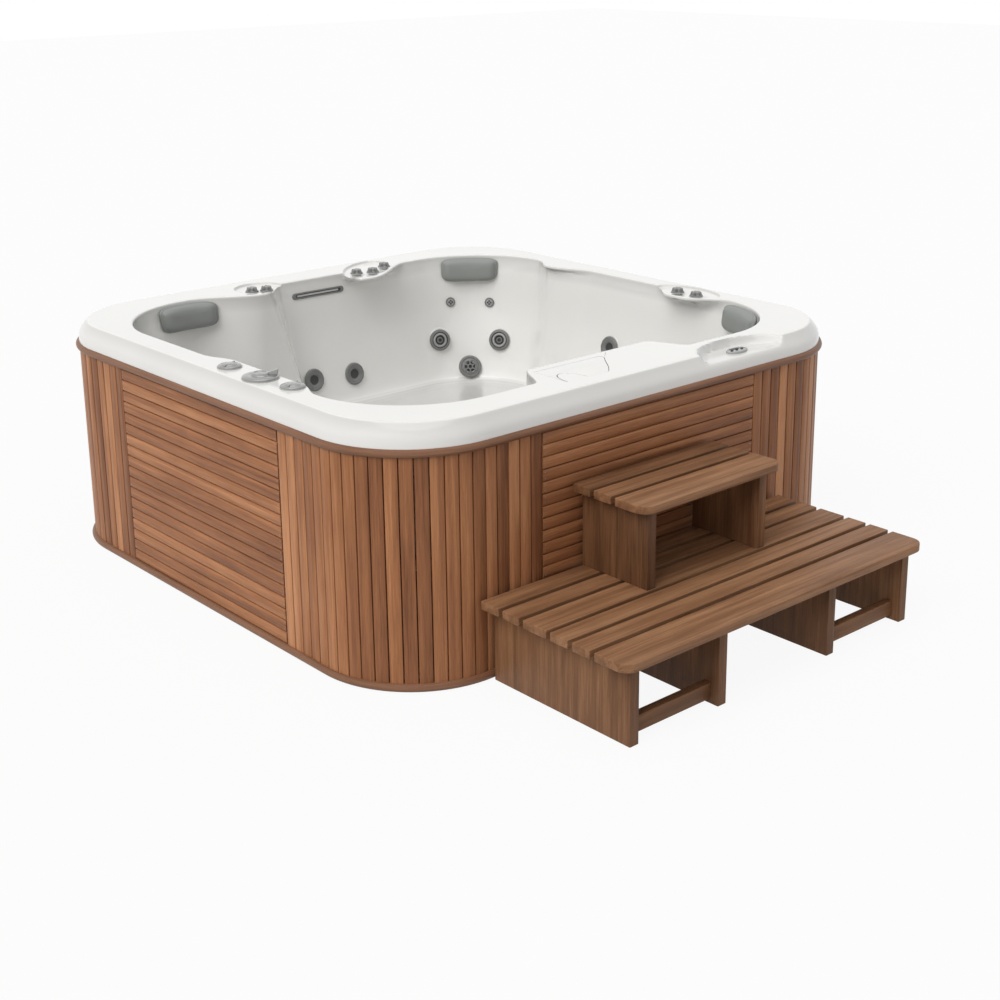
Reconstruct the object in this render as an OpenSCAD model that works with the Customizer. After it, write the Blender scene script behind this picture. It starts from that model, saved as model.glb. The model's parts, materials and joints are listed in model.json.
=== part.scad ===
// Square hot tub with a slatted wooden skirt, a moulded white shell and a two-tier wooden step.
// Millimetres, +Z up. Origin: on the floor under the middle of the tub. The steps stand on the -Y side.

/* [Overall] */
// Width and depth of the skirt over its wooden faces
skirt_w = 2200; // [2100:10:2400]
// Radius of the skirt's four corners
corner_r = 365; // [330:5:400]
// Height of the white deck above the floor
rim_z = 868; // [840:2:900]

/* [Skirt] */
// Height of the white rim's outer face, above the skirt
rim_h = 75; // [66:1:84]
// Thickness of the staves and panel boards
board_t = 18; // [14:1:22]
// Width of one corner stave and its joint
stave_pitch = 47; // [40:1:60]
// Open joint between two staves
stave_joint = 1.6; // [1:0.1:2.4]
// Width of the bevel along each stave and board edge
edge_bevel = 2.5; // [1.5:0.1:4]
// Width of the four flat panels
panel_w = 1006; // [940:2:1040]
// Gap along the upright edges of a panel
panel_seam = 3; // [2:0.5:5]
// Number of horizontal boards in a panel
panel_boards = 18; // [14:1:20]
// Height of the half-round mouldings above and below the boards
trim_h = 27; // [24:1:30]
// Thickness of the frame timbers
timber_t = 45; // [38:1:50]
// Depth of the frame timbers
timber_d = 60; // [50:1:66]

/* [Shell] */
// Thickness of the moulded shell
shell_t = 7; // [5:0.5:9]
// Radius of the rim's outer top edge
rim_round = 34; // [26:1:38]
// Radius of the edge where the deck turns down into the tub
lip_round = 12; // [8:1:14]
// Width of the deck on the left side
deck_left = 126; // [116:1:140]
// Width of the deck on the right side
deck_right = 130; // [124:1:150]
// Width of the deck at the back
deck_back = 187; // [175:1:205]
// Width of the deck at the front
deck_front = 170; // [160:1:185]
// Radius of the basin's corners at deck level
basin_r = 380; // [360:5:400]
// Height of the seats above the floor
seat_z = 300; // [290:2:330]
// Width of the seats, from the deck edge to the footwell
seat_run = 445; // [420:5:460]
// Height of the footwell's bottom above the floor
footwell_z = 108; // [100:2:120]
// Depth of the shallow control pads below the deck
pad_drop = 3; // [2:0.5:8]
// Depth of the keypad recess below the deck
keypad_drop = 30; // [26:1:38]
// Width of the keypad recess
keypad_recess_w = 418; // [390:2:440]

/* [Controls and jets] */
// Diameter of the diverter's dial
diverter_d = 126; // [118:1:132]
// Diameter of the two air dials beside the diverter
air_dial_d = 86; // [76:1:92]
// Diameter of the seven small pad knobs
pad_knob_d = 56; // [48:1:58]
// Diameter of the flange of the wall jets
jet_d = 98; // [90:1:104]
// Diameter of the flange of the shower-face jet
wide_jet_d = 104; // [98:1:110]
// Diameter of the flange of the small neck jets
neck_jet_d = 43; // [38:1:48]
// Running clearance round each turning stem
turn_gap = 0.4; // [0.3:0.05:0.6]
// Width of the waterfall's mouthpiece
waterfall_w = 262; // [236:2:280]
// Width of the keypad
keypad_w = 96; // [86:1:110]
// Depth of the keypad
keypad_d = 54; // [48:1:60]
// Diameter of a keypad button
button_d = 10; // [8:0.5:12]
// Travel of a keypad button
button_travel = 1.2; // [0.8:0.1:1.4]

/* [Pillows] */
// Width of a head pillow
pillow_w = 262; // [230:2:280]
// Height of a head pillow
pillow_h = 104; // [92:1:116]
// Thickness of a head pillow at its crown
pillow_t = 44; // [36:1:52]

/* [Filter] */
// Width of the filter well and its lid
well_w = 290; // [270:5:300]
// Depth of the filter well, front to back
well_d = 160; // [154:1:166]
// Height of the filter well
well_h = 300; // [280:5:320]
// Diameter of the filter cartridge
cartridge_d = 126; // [110:2:128]
// Thickness of the filter lid
lid_t = 12; // [10:1:14]

/* [Steps] */
// Height of the lower step
step_rise = 285; // [260:5:300]
// Height of the upper step above the lower one
step_rise_2 = 291; // [260:1:310]
// Length of the lower step's slats
lower_len = 1424; // [1380:2:1500]
// Length of the upper step's slats
upper_len = 660; // [630:2:700]
// Width of a step slat
slat_w = 75; // [68:1:80]
// Width of each step's wider front slat
front_slat_w = 133; // [120:1:145]
// Gap between two step slats
slat_gap = 18; // [12:1:22]
// Thickness of the step slats
slat_t = 28; // [24:1:32]
// Thickness of the steps' upright boards
upright_t = 36.6; // [32:0.2:42]

/* [Hidden] */
$fn = 48;
half = skirt_w / 2;
seat_gap = 0.3;
eps = 0.01;

// Heights of the skirt
skirt_top = rim_z - rim_h;
board_z0 = trim_h;
board_z1 = skirt_top - trim_h;
trim_proud = trim_h / 2;
moulding_back = board_t + 4;
pan_t = 12;
frame_out = half - board_t - seat_gap;

// Corner staves: straight run, arc and straight run from panel to panel
stave_run = half - corner_r - panel_w / 2 - panel_seam;
stave_arc = corner_r * 90 * PI / 180;
stave_path = 2 * stave_run + stave_arc;
stave_count = round(stave_path / stave_pitch);
stave_step = stave_path / stave_count;
stave_set = 0.4;

// Basin outline: half sizes and middle, from the four deck widths
rim_half = half + 1;
basin_x = half - (deck_left + deck_right) / 2;
basin_y = half - (deck_front + deck_back) / 2;
basin_cx = (deck_left - deck_right) / 2;
basin_cy = (deck_front - deck_back) / 2;
pad_ring = 16;
pad_z = rim_z - pad_drop;

// Deck pads: side (0 right, 1 back, 2 left, 3 front), from and to along the side going round
// anticlockwise, length of the run-in at each end, reach into the basin, share of the pad drop,
// and whether the pad runs down the wall as a divider (1) or ends under the deck (0)
deck_pads = [
    [0, 190, 535, 210, 120, 60, 0, 1],
    [0, -530, -160, 60, 73, 76, 1, 0],
    [1, 155, 575, 80, 330, 133, 1, 1],
    [1, -553, -98, 284, 85, 160, 1, 0],
    [2, -130, 555, 150, 130, 40, 0, 1],
    [3, -385, 345, 75, 80, 137, 0, 1],
];

// A level of the shell: half width, half depth, middle x and y, corner radius, height,
// the reach of the pads that end under the deck, that of the dividers, and the pad drop
function rim_level(back, z) =
    [rim_half - back, rim_half - back, 0, 0, corner_r + 1 - back, z, 0, 0, 0];
function basin_level(inset, z, r, pad, divider, drop) =
    [basin_x - inset, basin_y - inset, basin_cx, basin_cy, r, z, pad, divider, drop];

shell_levels = [
    rim_level(0, skirt_top),
    rim_level(0, rim_z - rim_round),
    for (a = [35, 65]) rim_level(rim_round * (1 - cos(a)), rim_z - rim_round * (1 - sin(a))),
    rim_level(rim_round, rim_z),
    basin_level(-28, rim_z, basin_r + 28, 0, 0, 0),
    basin_level(-pad_ring, rim_z, basin_r + pad_ring, 0, 0, 1),
    basin_level(-lip_round, rim_z, basin_r + lip_round, 1, 1, 1),
    basin_level(-0.3 * lip_round, rim_z - 0.3 * lip_round, basin_r + 0.3 * lip_round, 1, 1, 1),
    basin_level(0, rim_z - lip_round, basin_r, 1, 1, 1),
    basin_level(7, rim_z - 46, basin_r - 6, 0, 0.95, 0),
    basin_level(25, seat_z + 340, basin_r - 12, 0, 0.8, 0),
    basin_level(55, seat_z + 180, basin_r - 28, 0, 0.5, 0),
    basin_level(78, seat_z + 80, basin_r - 46, 0, 0.3, 0),
    basin_level(99, seat_z + 30, basin_r - 64, 0, 0.15, 0),
    basin_level(165, seat_z + 6, basin_r - 100, 0, 0, 0),
    basin_level(seat_run - 20, seat_z, basin_r - 160, 0, 0, 0),
    basin_level(seat_run, seat_z - 12, basin_r - 175, 0, 0, 0),
    basin_level(seat_run + 14, seat_z - 50, basin_r - 185, 0, 0, 0),
    basin_level(seat_run + 50, footwell_z + 40, basin_r - 205, 0, 0, 0),
    basin_level(seat_run + 75, footwell_z + 8, basin_r - 220, 0, 0, 0),
    basin_level(seat_run + 120, footwell_z, basin_r - 250, 0, 0, 0),
];
wall_top = 9;
wall_end = 20;

// Points along a level: t runs 0 to 4, one unit a quarter turn, from the middle of the right side
straight_share = 1 / 3;
straight_steps = 8;
arc_steps = 7;
quarter_steps = 2 * straight_steps + arc_steps;
columns = 4 * quarter_steps;
function column_t(k) =
    let (q = floor(k / quarter_steps), j = k - q * quarter_steps, s = straight_share)
    q + (j <= straight_steps ? s * j / straight_steps
        : j >= straight_steps + arc_steps ? 1 - s * (quarter_steps - j) / straight_steps
        : s + (1 - 2 * s) * (j - straight_steps) / arc_steps);

function turned(p, q) = q == 0 ? p : turned([-p.y, p.x], q - 1);
function smooth(x) = x <= 0 ? 0 : x >= 1 ? 1 : x * x * (3 - 2 * x);
function pad_share(a, pad) = min(smooth((a - pad[1]) / pad[3]), smooth((pad[2] - a) / pad[4]));
function drop_share(a, pad) = pad[6] * min(smooth((a - pad[1]) / 40), smooth((pad[2] - a) / 40));
function total(v, i = 0) = i < len(v) ? v[i] + total(v, i + 1) : 0;

// Side that t lies on, or -1 on a corner arc
function side_of(t) =
    let (q = floor(t) % 4, u = t - floor(t))
    u <= straight_share + eps / 9 ? q : u >= 1 - straight_share - eps / 9 ? (q + 1) % 4 : -1;
function bare_point(l, t) =
    let (q = floor(t) % 4, u = t - floor(t), s = straight_share, r = l[4],
         a = q % 2 == 0 ? l[0] : l[1], b = q % 2 == 0 ? l[1] : l[0],
         w = 90 * (u - s) / (1 - 2 * s),
         p = u < s ? [a, (b - r) * u / s]
           : u > 1 - s ? [(a - r) * (1 - u) / s, b]
           : [a - r + r * cos(w), b - r + r * sin(w)])
    turned(p, q) + [l[2], l[3]];
function level_point(l, t) =
    let (p = bare_point(l, t), side = side_of(t))
    side < 0 ? [p.x, p.y, l[5]]
    : let (n = turned([1, 0], side), a = p * turned([0, 1], side),
           pads = [for (pad = deck_pads) if (pad[0] == side) pad],
           reach = total([for (pad = pads) l[6 + pad[7]] * pad[5] * pad_share(a, pad)]),
           fall = total([for (pad = pads) drop_share(a, pad)]))
      [p.x - n.x * reach, p.y - n.y * reach, l[5] - l[8] * pad_drop * fall];

// The underside follows the top one wall thickness behind it
function under_level(i) =
    let (last = len(shell_levels) - 1,
         a = shell_levels[max(i - 1, 0)], b = shell_levels[min(i + 1, last)], l = shell_levels[i],
         d = i == 0 ? [0, 1] : [b[0] - a[0], b[5] - a[5]],
         n = [-d.y, d.x] / norm(d) * shell_t)
    [l[0] + n.x, l[1] + n.x, l[2], l[3], l[4] + n.x, l[5] + n.y, l[6], l[7], l[8]];
under_order = [21, 20, 19, 17, 16, 15, 14, 13, 12, 11, 10, 9, 7, 6, 5, 4, 3, 1, 0];

// Column values between two sample columns lie on the facet, so fittings seat on the real surface
function facet_column(t) =
    let (k = [for (i = [0:columns - 1]) if (column_t(i) <= t && column_t(i + 1) > t) i][0])
    [column_t(k), column_t(k + 1)];
function wall_row(t, z) =
    let (i = [for (k = [wall_top:wall_end - 1])
              if (shell_levels[k][5] >= z && shell_levels[k + 1][5] < z) k][0],
         a = level_point(shell_levels[i], t), b = level_point(shell_levels[i + 1], t))
    a + (b - a) * (a.z - z) / (a.z - b.z);
function wall_at(t, z) =
    let (c = facet_column(t), f = (t - c[0]) / (c[1] - c[0]))
    wall_row(c[0], z) * (1 - f) + wall_row(c[1], z) * f;
function wall_normal(t, z) =
    let (c = facet_column(t), n = cross(wall_row(c[1], z) - wall_row(c[0], z), wall_at(t, z - 9) - wall_at(t, z)))
    n / norm(n);

// Jets: place round the basin, height, flange diameter, stand of the moulded boss under the flange
wall_jets = [
    [1.02, seat_z + 146, jet_d, 2.5],
    [0.897, seat_z + 135, jet_d, 2.5],
    [0.615, seat_z + 201, jet_d, 10],
    [0.445, seat_z + 194, jet_d, 5.5],
    [0.033, seat_z + 268, jet_d, 2.5],
    [3.53, seat_z + 190, jet_d, 9.5],
    [3.645, seat_z + 190, jet_d, 6],
    [0.53, seat_z + 72, wide_jet_d, 11],
];
neck_jets = [[0.579, seat_z + 363], [0.476, seat_z + 357], [3.56, seat_z + 351], [3.61, seat_z + 351]];
neck_stand = 5;
boss_rim = 3;
jet_flange_t = 4;
barrel_len = 52;
function barrel_r(d) = 0.28 * d;
function jet_bore_r(d) = barrel_r(d) - 4;

// Controls on the deck: side, place along it, distance in from the skirt, dial diameter, height of the seat
dial_in = rim_round + diverter_d / 2 + 2;
controls = [
    [2, 82, dial_in, air_dial_d, rim_z],
    [2, 272, dial_in, diverter_d, rim_z],
    [2, 436, dial_in + 16, air_dial_d, rim_z],
    [1, 246, deck_back + 63, pad_knob_d, pad_z],
    [1, 302, deck_back + 41, pad_knob_d, pad_z],
    [1, -221, deck_back + 45, pad_knob_d, pad_z],
    [1, -288, deck_back + 71, pad_knob_d, pad_z],
    [1, -392, deck_back + 13, pad_knob_d, pad_z],
    [0, -330, deck_right + 33, pad_knob_d, pad_z],
    [0, -428, deck_right + 31, pad_knob_d, pad_z],
];
function control_xy(c) = turned([half - c[2], c[1]], c[0]);
function valve_r(d) = 0.3 * d;
function valve_len(c) = c[4] == rim_z ? 44 : 24;
escutcheon_t = 3;
stem_len = 18;

// Waterfall on the back wall, below the deck
waterfall_t = 0.975;
waterfall_z = rim_z - 64;

// Keypad recess at the right of the front deck
keypad_x = 481;
keypad_floor = rim_z - keypad_drop;
keypad_back = -half + deck_front - 60;
keypad_cx = 480;
keypad_cy = -half + 62;
keypad_t = 8;
button_spots = [[-26, 0], [0, 0], [26, 0]];

// Filter well under the front peninsula
well_x1 = -8;
well_x0 = well_x1 - well_w;
well_y1 = -basin_y + basin_cy + 98;
well_y0 = well_y1 - well_d;
well_wall = 4;
well_top = rim_z - lid_t - 1;
mouth_w = 150;
mouth_h = 84;
mouth_z = rim_z - 160;
mouth_x = well_x0 + mouth_w / 2 + 2;
throat = 33;
lid_gap = 1.5;
finger_r = 26;

// Steps
step_back = -half - trim_proud - 6;
lower_slats = [slat_w + 7, slat_w, slat_w + 27, slat_w, slat_w];
upper_slats = [slat_w, slat_w];
function slats_depth(slats, n) = n == 0 ? 0 : slats[n - 1] + slat_gap + slats_depth(slats, n - 1);
function tier_depth(slats) = slats_depth(slats, len(slats)) + front_slat_w;
lower_x0 = -783;
upper_x0 = -391;
lower_boards_x = [-729.6, -349.3, 176, 567.8];
lower_board_d = tier_depth(lower_slats) - 37;
upper_board_d = tier_depth(upper_slats) - 26;
stretcher_z = 17;
stretcher_h = 53;
stretcher_t = 30;
stretcher_back = 31;
slat_round = 48;
upper_z = step_rise + step_rise_2;

module on_side(q) { rotate(90 * q) children(); }

// Flat outline with rounded corners, reaching h from the middle
module rounded_square(h, r) {
    union() {
        square([2 * h, 2 * (h - r)], center = true);
        square([2 * (h - r), 2 * h], center = true);
        for (q = [0:3]) on_side(q) translate([h - r, h - r]) circle(r, $fn = 96);
    }
}

// Base pan that the tub stands on
module base_pan() {
    color("dimgray") linear_extrude(pan_t)
        rounded_square(half - moulding_back - seat_gap, corner_r - moulding_back - seat_gap);
}

// Half-round wooden moulding, as four straight lengths and four bent corners
module moulding_profile() {
    square([moulding_back, trim_h]);
    translate([moulding_back, trim_h / 2]) circle(trim_h / 2);
}
module moulding(z) {
    straight = 2 * (half - corner_r);
    for (q = [0:3]) on_side(q) translate([0, 0, z]) {
        translate([half - moulding_back, straight / 2, 0])
            rotate([90, 0, 0]) linear_extrude(straight) moulding_profile();
        translate([half - corner_r, half - corner_r, 0]) rotate_extrude(angle = 90, $fn = 96)
            translate([corner_r - moulding_back, 0]) moulding_profile();
    }
}
module base_trim() { color("sienna") moulding(0); }
module top_trim() { color("sienna") moulding(skirt_top - trim_h); }

// Timber frame: sills, posts behind the panel seams, top rails
rail_out = half - moulding_back - seat_gap;
rail_len = 2 * (half - corner_r);
module rail(z) {
    for (q = [0:3]) on_side(q) translate([rail_out - timber_d, -rail_len / 2, z])
        cube([timber_d, rail_len, timber_t]);
}
post_w = 90;
module timber_frame() {
    post_h = skirt_top - 2 * timber_t - pan_t;
    color("burlywood") {
        rail(pan_t);
        rail(skirt_top - timber_t);
        for (q = [0:3], side = [-1, 1]) on_side(q)
            translate([rail_out - timber_d, side * (panel_w + panel_seam) / 2 - post_w / 2, pan_t + timber_t])
                cube([timber_d, post_w, post_h]);
    }
}

// Plywood quarter rings that bend the corner staves
module corner_formers() {
    former_t = 18;
    former_w = 46;
    levels = [board_z0 + 6, (board_z0 + board_z1) / 2, board_z1 - former_t - 6];
    r = corner_r - board_t - stave_set - seat_gap;
    color("tan") for (q = [0:3]) on_side(q) for (z = levels)
        translate([half - corner_r, half - corner_r, z])
            rotate_extrude(angle = 90, $fn = 96) translate([r - former_w, 0]) square([former_w, former_t]);
}

// One bevelled stave, its face on x = 0, and the place of stave i along the corner
module stave_profile() {
    w = (stave_step - stave_joint) / 2;
    inner = w * (corner_r - board_t) / corner_r;
    polygon([[-board_t, -inner], [-edge_bevel, -w], [0, edge_bevel - w],
             [0, w - edge_bevel], [-edge_bevel, w], [-board_t, inner]]);
}
function stave_angle(s) = min(max((s - stave_run) / stave_arc, 0), 1) * 90;
function stave_spot(s) =
    let (a = stave_angle(s), c = half - corner_r, over = max(s - stave_run - stave_arc, 0))
    s < stave_run ? [half, c - stave_run + s]
    : [c + corner_r * cos(a) - over, c + corner_r * sin(a)];
module corner_staves() {
    color("peru") for (q = [0:3], i = [0:stave_count - 1]) on_side(q) {
        s = (i + 0.5) * stave_step;
        translate([stave_spot(s).x, stave_spot(s).y, board_z0]) rotate(stave_angle(s))
            translate([-stave_set, 0]) linear_extrude(board_z1 - board_z0) stave_profile();
    }
}

// Ports low in the back panel, for the drain hose and the supply cable
port_z = board_z0 + 60;
port_r = 21;
drain_along = panel_w / 4 + 90;
cable_along = -panel_w / 4 - 90;
module at_port(along) { translate([half, along, port_z]) rotate([0, 90, 0]) children(); }

// Removable panel of horizontal boards with bevelled joints, on two battens
panel_lift = 1.7;
panel_h = board_z1 - board_z0 - seat_gap - panel_lift;
board_h = panel_h / panel_boards;
batten_t = 20;
screw_in = 24;
screw_rows = [0.12, 0.5, 0.88];
module panel() {
    b = edge_bevel;
    face = [for (i = [0:panel_boards - 1], p = [[-b, 0], [0, b], [0, board_h - b], [-b, board_h]])
            if (!(p.y == 0 && i > 0)) [p.x, i * board_h + p.y]];
    translate([half, panel_w / 2, board_z0 + seat_gap]) difference() {
        rotate([90, 0, 0]) linear_extrude(panel_w)
            polygon([[-board_t, 0], each face, [-board_t, panel_h]]);
        for (k = screw_rows, y = [-screw_in, screw_in - panel_w])
            translate([-board_t - 1, y, k * panel_h]) rotate([0, 90, 0]) cylinder(r = 2.5, h = board_t + 2);
    }
    for (side = [-1, 1])
        translate([half - board_t - batten_t, side * panel_w / 4 - 35, board_z0 + timber_t + 30])
            cube([batten_t, 70, panel_h - 2 * timber_t - 60]);
}
module right_panel() { color("sienna") on_side(0) panel(); }
module back_panel() {
    color("sienna") on_side(1) difference() {
        panel();
        for (a = [drain_along, cable_along]) at_port(a) translate([0, 0, -60]) cylinder(r = port_r, h = 120);
    }
}
module service_panel() { color("sienna") on_side(2) panel(); }
module front_panel() { color("sienna") on_side(3) panel(); }

// Countersunk screws in the panel edges, all but the service panel's, which lift off with it
module panel_screw() {
    rotate([0, 90, 0]) {
        translate([0, 0, -board_t - 2]) cylinder(r = 2.2, h = board_t + 2);
        translate([0, 0, seat_gap]) cylinder(r1 = 5, r2 = 3.4, h = 1.6);
        translate([0, 0, -eps]) cylinder(r = 2.2, h = seat_gap + 2 * eps);
    }
}
module edge_screws() {
    for (k = screw_rows, side = [-1, 1])
        translate([half, side * (panel_w / 2 - screw_in), board_z0 + seat_gap + k * panel_h]) panel_screw();
}
module panel_screws() { color("silver") for (q = [0, 1, 3]) on_side(q) edge_screws(); }
module service_screws() { color("silver") on_side(2) edge_screws(); }

// Moulded shell: rim, deck, basin, seats and footwell as one loft through the levels
function ring(l) = [for (k = [0:columns - 1]) level_point(l, column_t(k))];
module shell_loft() {
    rings = [for (i = under_order) ring(under_level(i)), for (l = shell_levels) ring(l)];
    n = len(rings);
    inner_mid = [basin_cx, basin_cy, footwell_z];
    under_mid = inner_mid - [0, 0, shell_t];
    faces = [
        for (k = [0:columns - 1]) [n * columns, k, (k + 1) % columns],
        for (i = [0:n - 2], k = [0:columns - 1])
            let (a = i * columns + k, b = i * columns + (k + 1) % columns)
            each [[a, a + columns, b], [b, a + columns, b + columns]],
        for (k = [0:columns - 1])
            [n * columns + 1, (n - 1) * columns + (k + 1) % columns, (n - 1) * columns + k],
    ];
    polyhedron([for (r = rings) each r, under_mid, inner_mid], faces);
}

// Square to the wall: local z = 0 on the wall, +z into the tub
module at_wall(t, z) {
    p = wall_at(t, z);
    n = wall_normal(t, z);
    translate(p) rotate([0, acos(n.z), atan2(n.y, n.x)]) children();
}
module at_control(c) { translate([control_xy(c).x, control_xy(c).y, c[4]]) rotate(90 * c[0]) children(); }

// Keypad recess: a tray let into the front edge of the deck
module keypad_tray() {
    intersection() {
        translate([keypad_x - keypad_recess_w / 2, -rim_half, keypad_floor - shell_t]) difference() {
            cube([keypad_recess_w, rim_half + keypad_back, keypad_drop + shell_t]);
            translate([shell_t, -1, shell_t])
                cube([keypad_recess_w - 2 * shell_t, rim_half + keypad_back - shell_t + 1, keypad_drop + 1]);
        }
        linear_extrude(rim_z) rounded_square(rim_half, corner_r + 1);
    }
}
module keypad_window() {
    translate([keypad_x - keypad_recess_w / 2 + shell_t, -rim_half - 20, keypad_floor])
        cube([keypad_recess_w - 2 * shell_t, rim_half + keypad_back - shell_t + 20, keypad_drop + 20]);
}

// Plan of the filter lid: its right edge is the S-shaped joint, its near edge has the finger notch
module lid_plan(grow) {
    bend = 14;
    wave = [for (i = [0:12]) let (v = i / 12)
            [well_x1 + grow + bend * sin(360 * v), well_y0 - grow + v * (well_y1 - well_y0 + 2 * grow)]];
    polygon([[well_x0 - grow, well_y0 - grow], each wave, [well_x0 - grow, well_y1 + grow]]);
}
module lid_notch(r) { translate([(well_x0 + well_x1) / 2, well_y0]) circle(r); }

suction_z = (footwell_z + 40 + seat_z - 50) / 2;
suction_t = [1.8, 2.2];
suction_r = 34;
drain_r = 30;

module tub_shell() {
    color("white") difference() {
        union() {
            difference() {
                shell_loft();
                keypad_window();
            }
            keypad_tray();
            for (j = wall_jets) at_wall(j[0], j[1])
                translate([0, 0, 1 - shell_t]) cylinder(r = j[2] / 2 + boss_rim, h = shell_t - 1 + j[3]);
            for (j = neck_jets) at_wall(j[0], j[1])
                translate([0, 0, 1 - shell_t]) cylinder(r = neck_jet_d / 2 + boss_rim, h = shell_t - 1 + neck_stand);
        }
        for (j = wall_jets) at_wall(j[0], j[1])
            translate([0, 0, -30]) cylinder(r = barrel_r(j[2]) + seat_gap, h = 60);
        for (j = neck_jets) at_wall(j[0], j[1])
            translate([0, 0, -30]) cylinder(r = barrel_r(neck_jet_d) + seat_gap, h = 60);
        for (c = controls) at_control(c) translate([0, 0, -30]) cylinder(r = valve_r(c[3]) + seat_gap, h = 60);
        at_wall(waterfall_t, waterfall_z) translate([0, 0, -30]) linear_extrude(60) waterfall_slot(seat_gap);
        translate([0, 0, well_top]) linear_extrude(2 * lid_t) lid_plan(lid_gap);
        translate([mouth_x - mouth_w / 2, well_y1 - 10, mouth_z]) cube([mouth_w, 80, mouth_h]);
        for (t = suction_t) at_wall(t, suction_z) translate([0, 0, -60]) cylinder(r = suction_r + seat_gap, h = 120);
        translate([basin_cx, basin_cy, footwell_z - 30]) cylinder(r = drain_r - 8, h = 60);
        translate([keypad_cx, keypad_cy, keypad_floor - 20]) cylinder(r = 12, h = 40);
    }
}
module waterfall_slot(grow) {
    r = 7 + grow;
    run = waterfall_w / 2 - 24;
    rotate(90) {
        square([2 * run, 2 * r], center = true);
        for (side = [-1, 1]) translate([side * run, 0]) circle(r);
    }
}

// Blocks that carry the deck on the top rails
module shell_blocks() {
    block_h = rim_z - shell_t - skirt_top;
    color("tan") for (q = [0:2], a = [-500, -60, 500]) on_side(q)
        translate([rail_out - timber_d + 10, a - 40, skirt_top]) cube([timber_d - 24, 80, block_h]);
    color("tan") for (a = [-600, -420, 0])
        translate([a - 40, timber_d - 10 - rail_out - (timber_d - 24), skirt_top])
            cube([80, timber_d - 24, block_h]);
}

// Crossed planks under the footwell
module footwell_cradle() {
    h = footwell_z - shell_t - pan_t - seat_gap;
    run = 560;
    color("burlywood") translate([basin_cx, basin_cy, pan_t]) difference() {
        union() {
            for (a = [-180, 180]) translate([-run / 2, a - 20, 0]) cube([run, 40, h]);
            for (a = [-180, 180]) translate([a - 20, -run / 2, 0]) cube([40, run, h]);
        }
        cylinder(r = drain_r + 14, h = h + 1);
    }
}

// Wall jet body: flange inside the tub, threaded barrel through the wall, nut behind it.
// Local z = 0 is the top of the moulded boss
module at_jet(j) { at_wall(j[0], j[1]) translate([0, 0, j[3]]) children(); }
module jet_body(d, stand) {
    nut_z = -shell_t - stand - 12;
    difference() {
        union() {
            cylinder(r = d / 2, h = jet_flange_t);
            translate([0, 0, -barrel_len]) cylinder(r = barrel_r(d), h = barrel_len + 1);
            translate([0, 0, nut_z]) cylinder(r = d / 2 - 2, h = 10, $fn = 6);
        }
        translate([0, 0, 8 - barrel_len]) cylinder(r = jet_bore_r(d), h = barrel_len + 10);
    }
}
module jet_bodies() {
    color("gainsboro") for (j = wall_jets) at_jet(j) jet_body(j[2], j[3]);
}

// Jet face that turns in its body: rounded ring, dished cone and nozzle
jet_face_z = jet_flange_t + seat_gap;
ring_round = 5;
module jet_face(i) {
    j = wall_jets[i];
    r = j[2] / 2 - 1;
    stem = jet_bore_r(j[2]) - turn_gap;
    hole = r * 0.09;
    color("darkgray") at_jet(j) difference() {
        rotate_extrude() {
            translate([0, -24]) square([stem, 25 + jet_face_z]);
            translate([0, jet_face_z]) square([r, 1.5]);
            translate([0, jet_face_z]) square([r - ring_round, 1.5 + ring_round]);
            translate([r - ring_round, jet_face_z + 1.5]) intersection() {
                circle(ring_round, $fn = 32);
                square(ring_round);
            }
        }
        if (j[2] == wide_jet_d) {
            translate([0, 0, jet_face_z + 3]) cylinder(r1 = r * 0.66, r2 = r * 0.74, h = 4);
            for (a = [0:60:300]) rotate(a) translate([r * 0.36, 0, -30]) cylinder(r = hole, h = 60);
            translate([0, 0, -30]) cylinder(r = hole, h = 60);
        } else {
            translate([0, 0, jet_face_z]) rotate_extrude() polygon([
                [5, 7], [r * 0.62, 7], [stem - 2.5, 0.5], [stem - 6, -4], [9, -4],
            ]);
            translate([0, 0, -30]) cylinder(r = hole, h = 60);
        }
    }
}
module jet_face_1() { jet_face(0); }
module jet_face_2() { jet_face(1); }
module jet_face_3() { jet_face(2); }
module jet_face_4() { jet_face(3); }
module jet_face_5() { jet_face(4); }
module jet_face_6() { jet_face(5); }
module jet_face_7() { jet_face(6); }
module jet_face_8() { jet_face(7); }

// Fixed neck jets: flange, two nozzles and barrel
module neck_jet_set() {
    color("darkgray") for (j = neck_jets) at_wall(j[0], j[1]) difference() {
        union() {
            translate([0, 0, neck_stand]) cylinder(r = neck_jet_d / 2, h = 3);
            translate([0, 0, neck_stand + 2]) cylinder(r = neck_jet_d / 2 - 4, h = 3);
            translate([0, 0, -34]) cylinder(r = barrel_r(neck_jet_d), h = 35 + neck_stand);
        }
        for (side = [-1, 1]) translate([0, side * neck_jet_d / 9, -28]) cylinder(r = 2.4, h = 60);
    }
}

// Waterfall mouthpiece: escutcheon with rounded ends, slot, and the box behind the wall
module stadium(w, h) {
    square([w - h, h], center = true);
    for (side = [-1, 1]) translate([side * (w - h) / 2, 0]) circle(h / 2);
}
module waterfall_spout() {
    lip = 5;
    color("darkgray") at_wall(waterfall_t, waterfall_z) difference() {
        union() {
            translate([0, 0, seat_gap]) linear_extrude(lip) rotate(90) stadium(waterfall_w, 27);
            translate([0, 0, -34]) linear_extrude(36) waterfall_slot(0);
        }
        translate([0, 0, -28]) linear_extrude(60) rotate(90) stadium(waterfall_w - 52, 7);
    }
}

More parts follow.
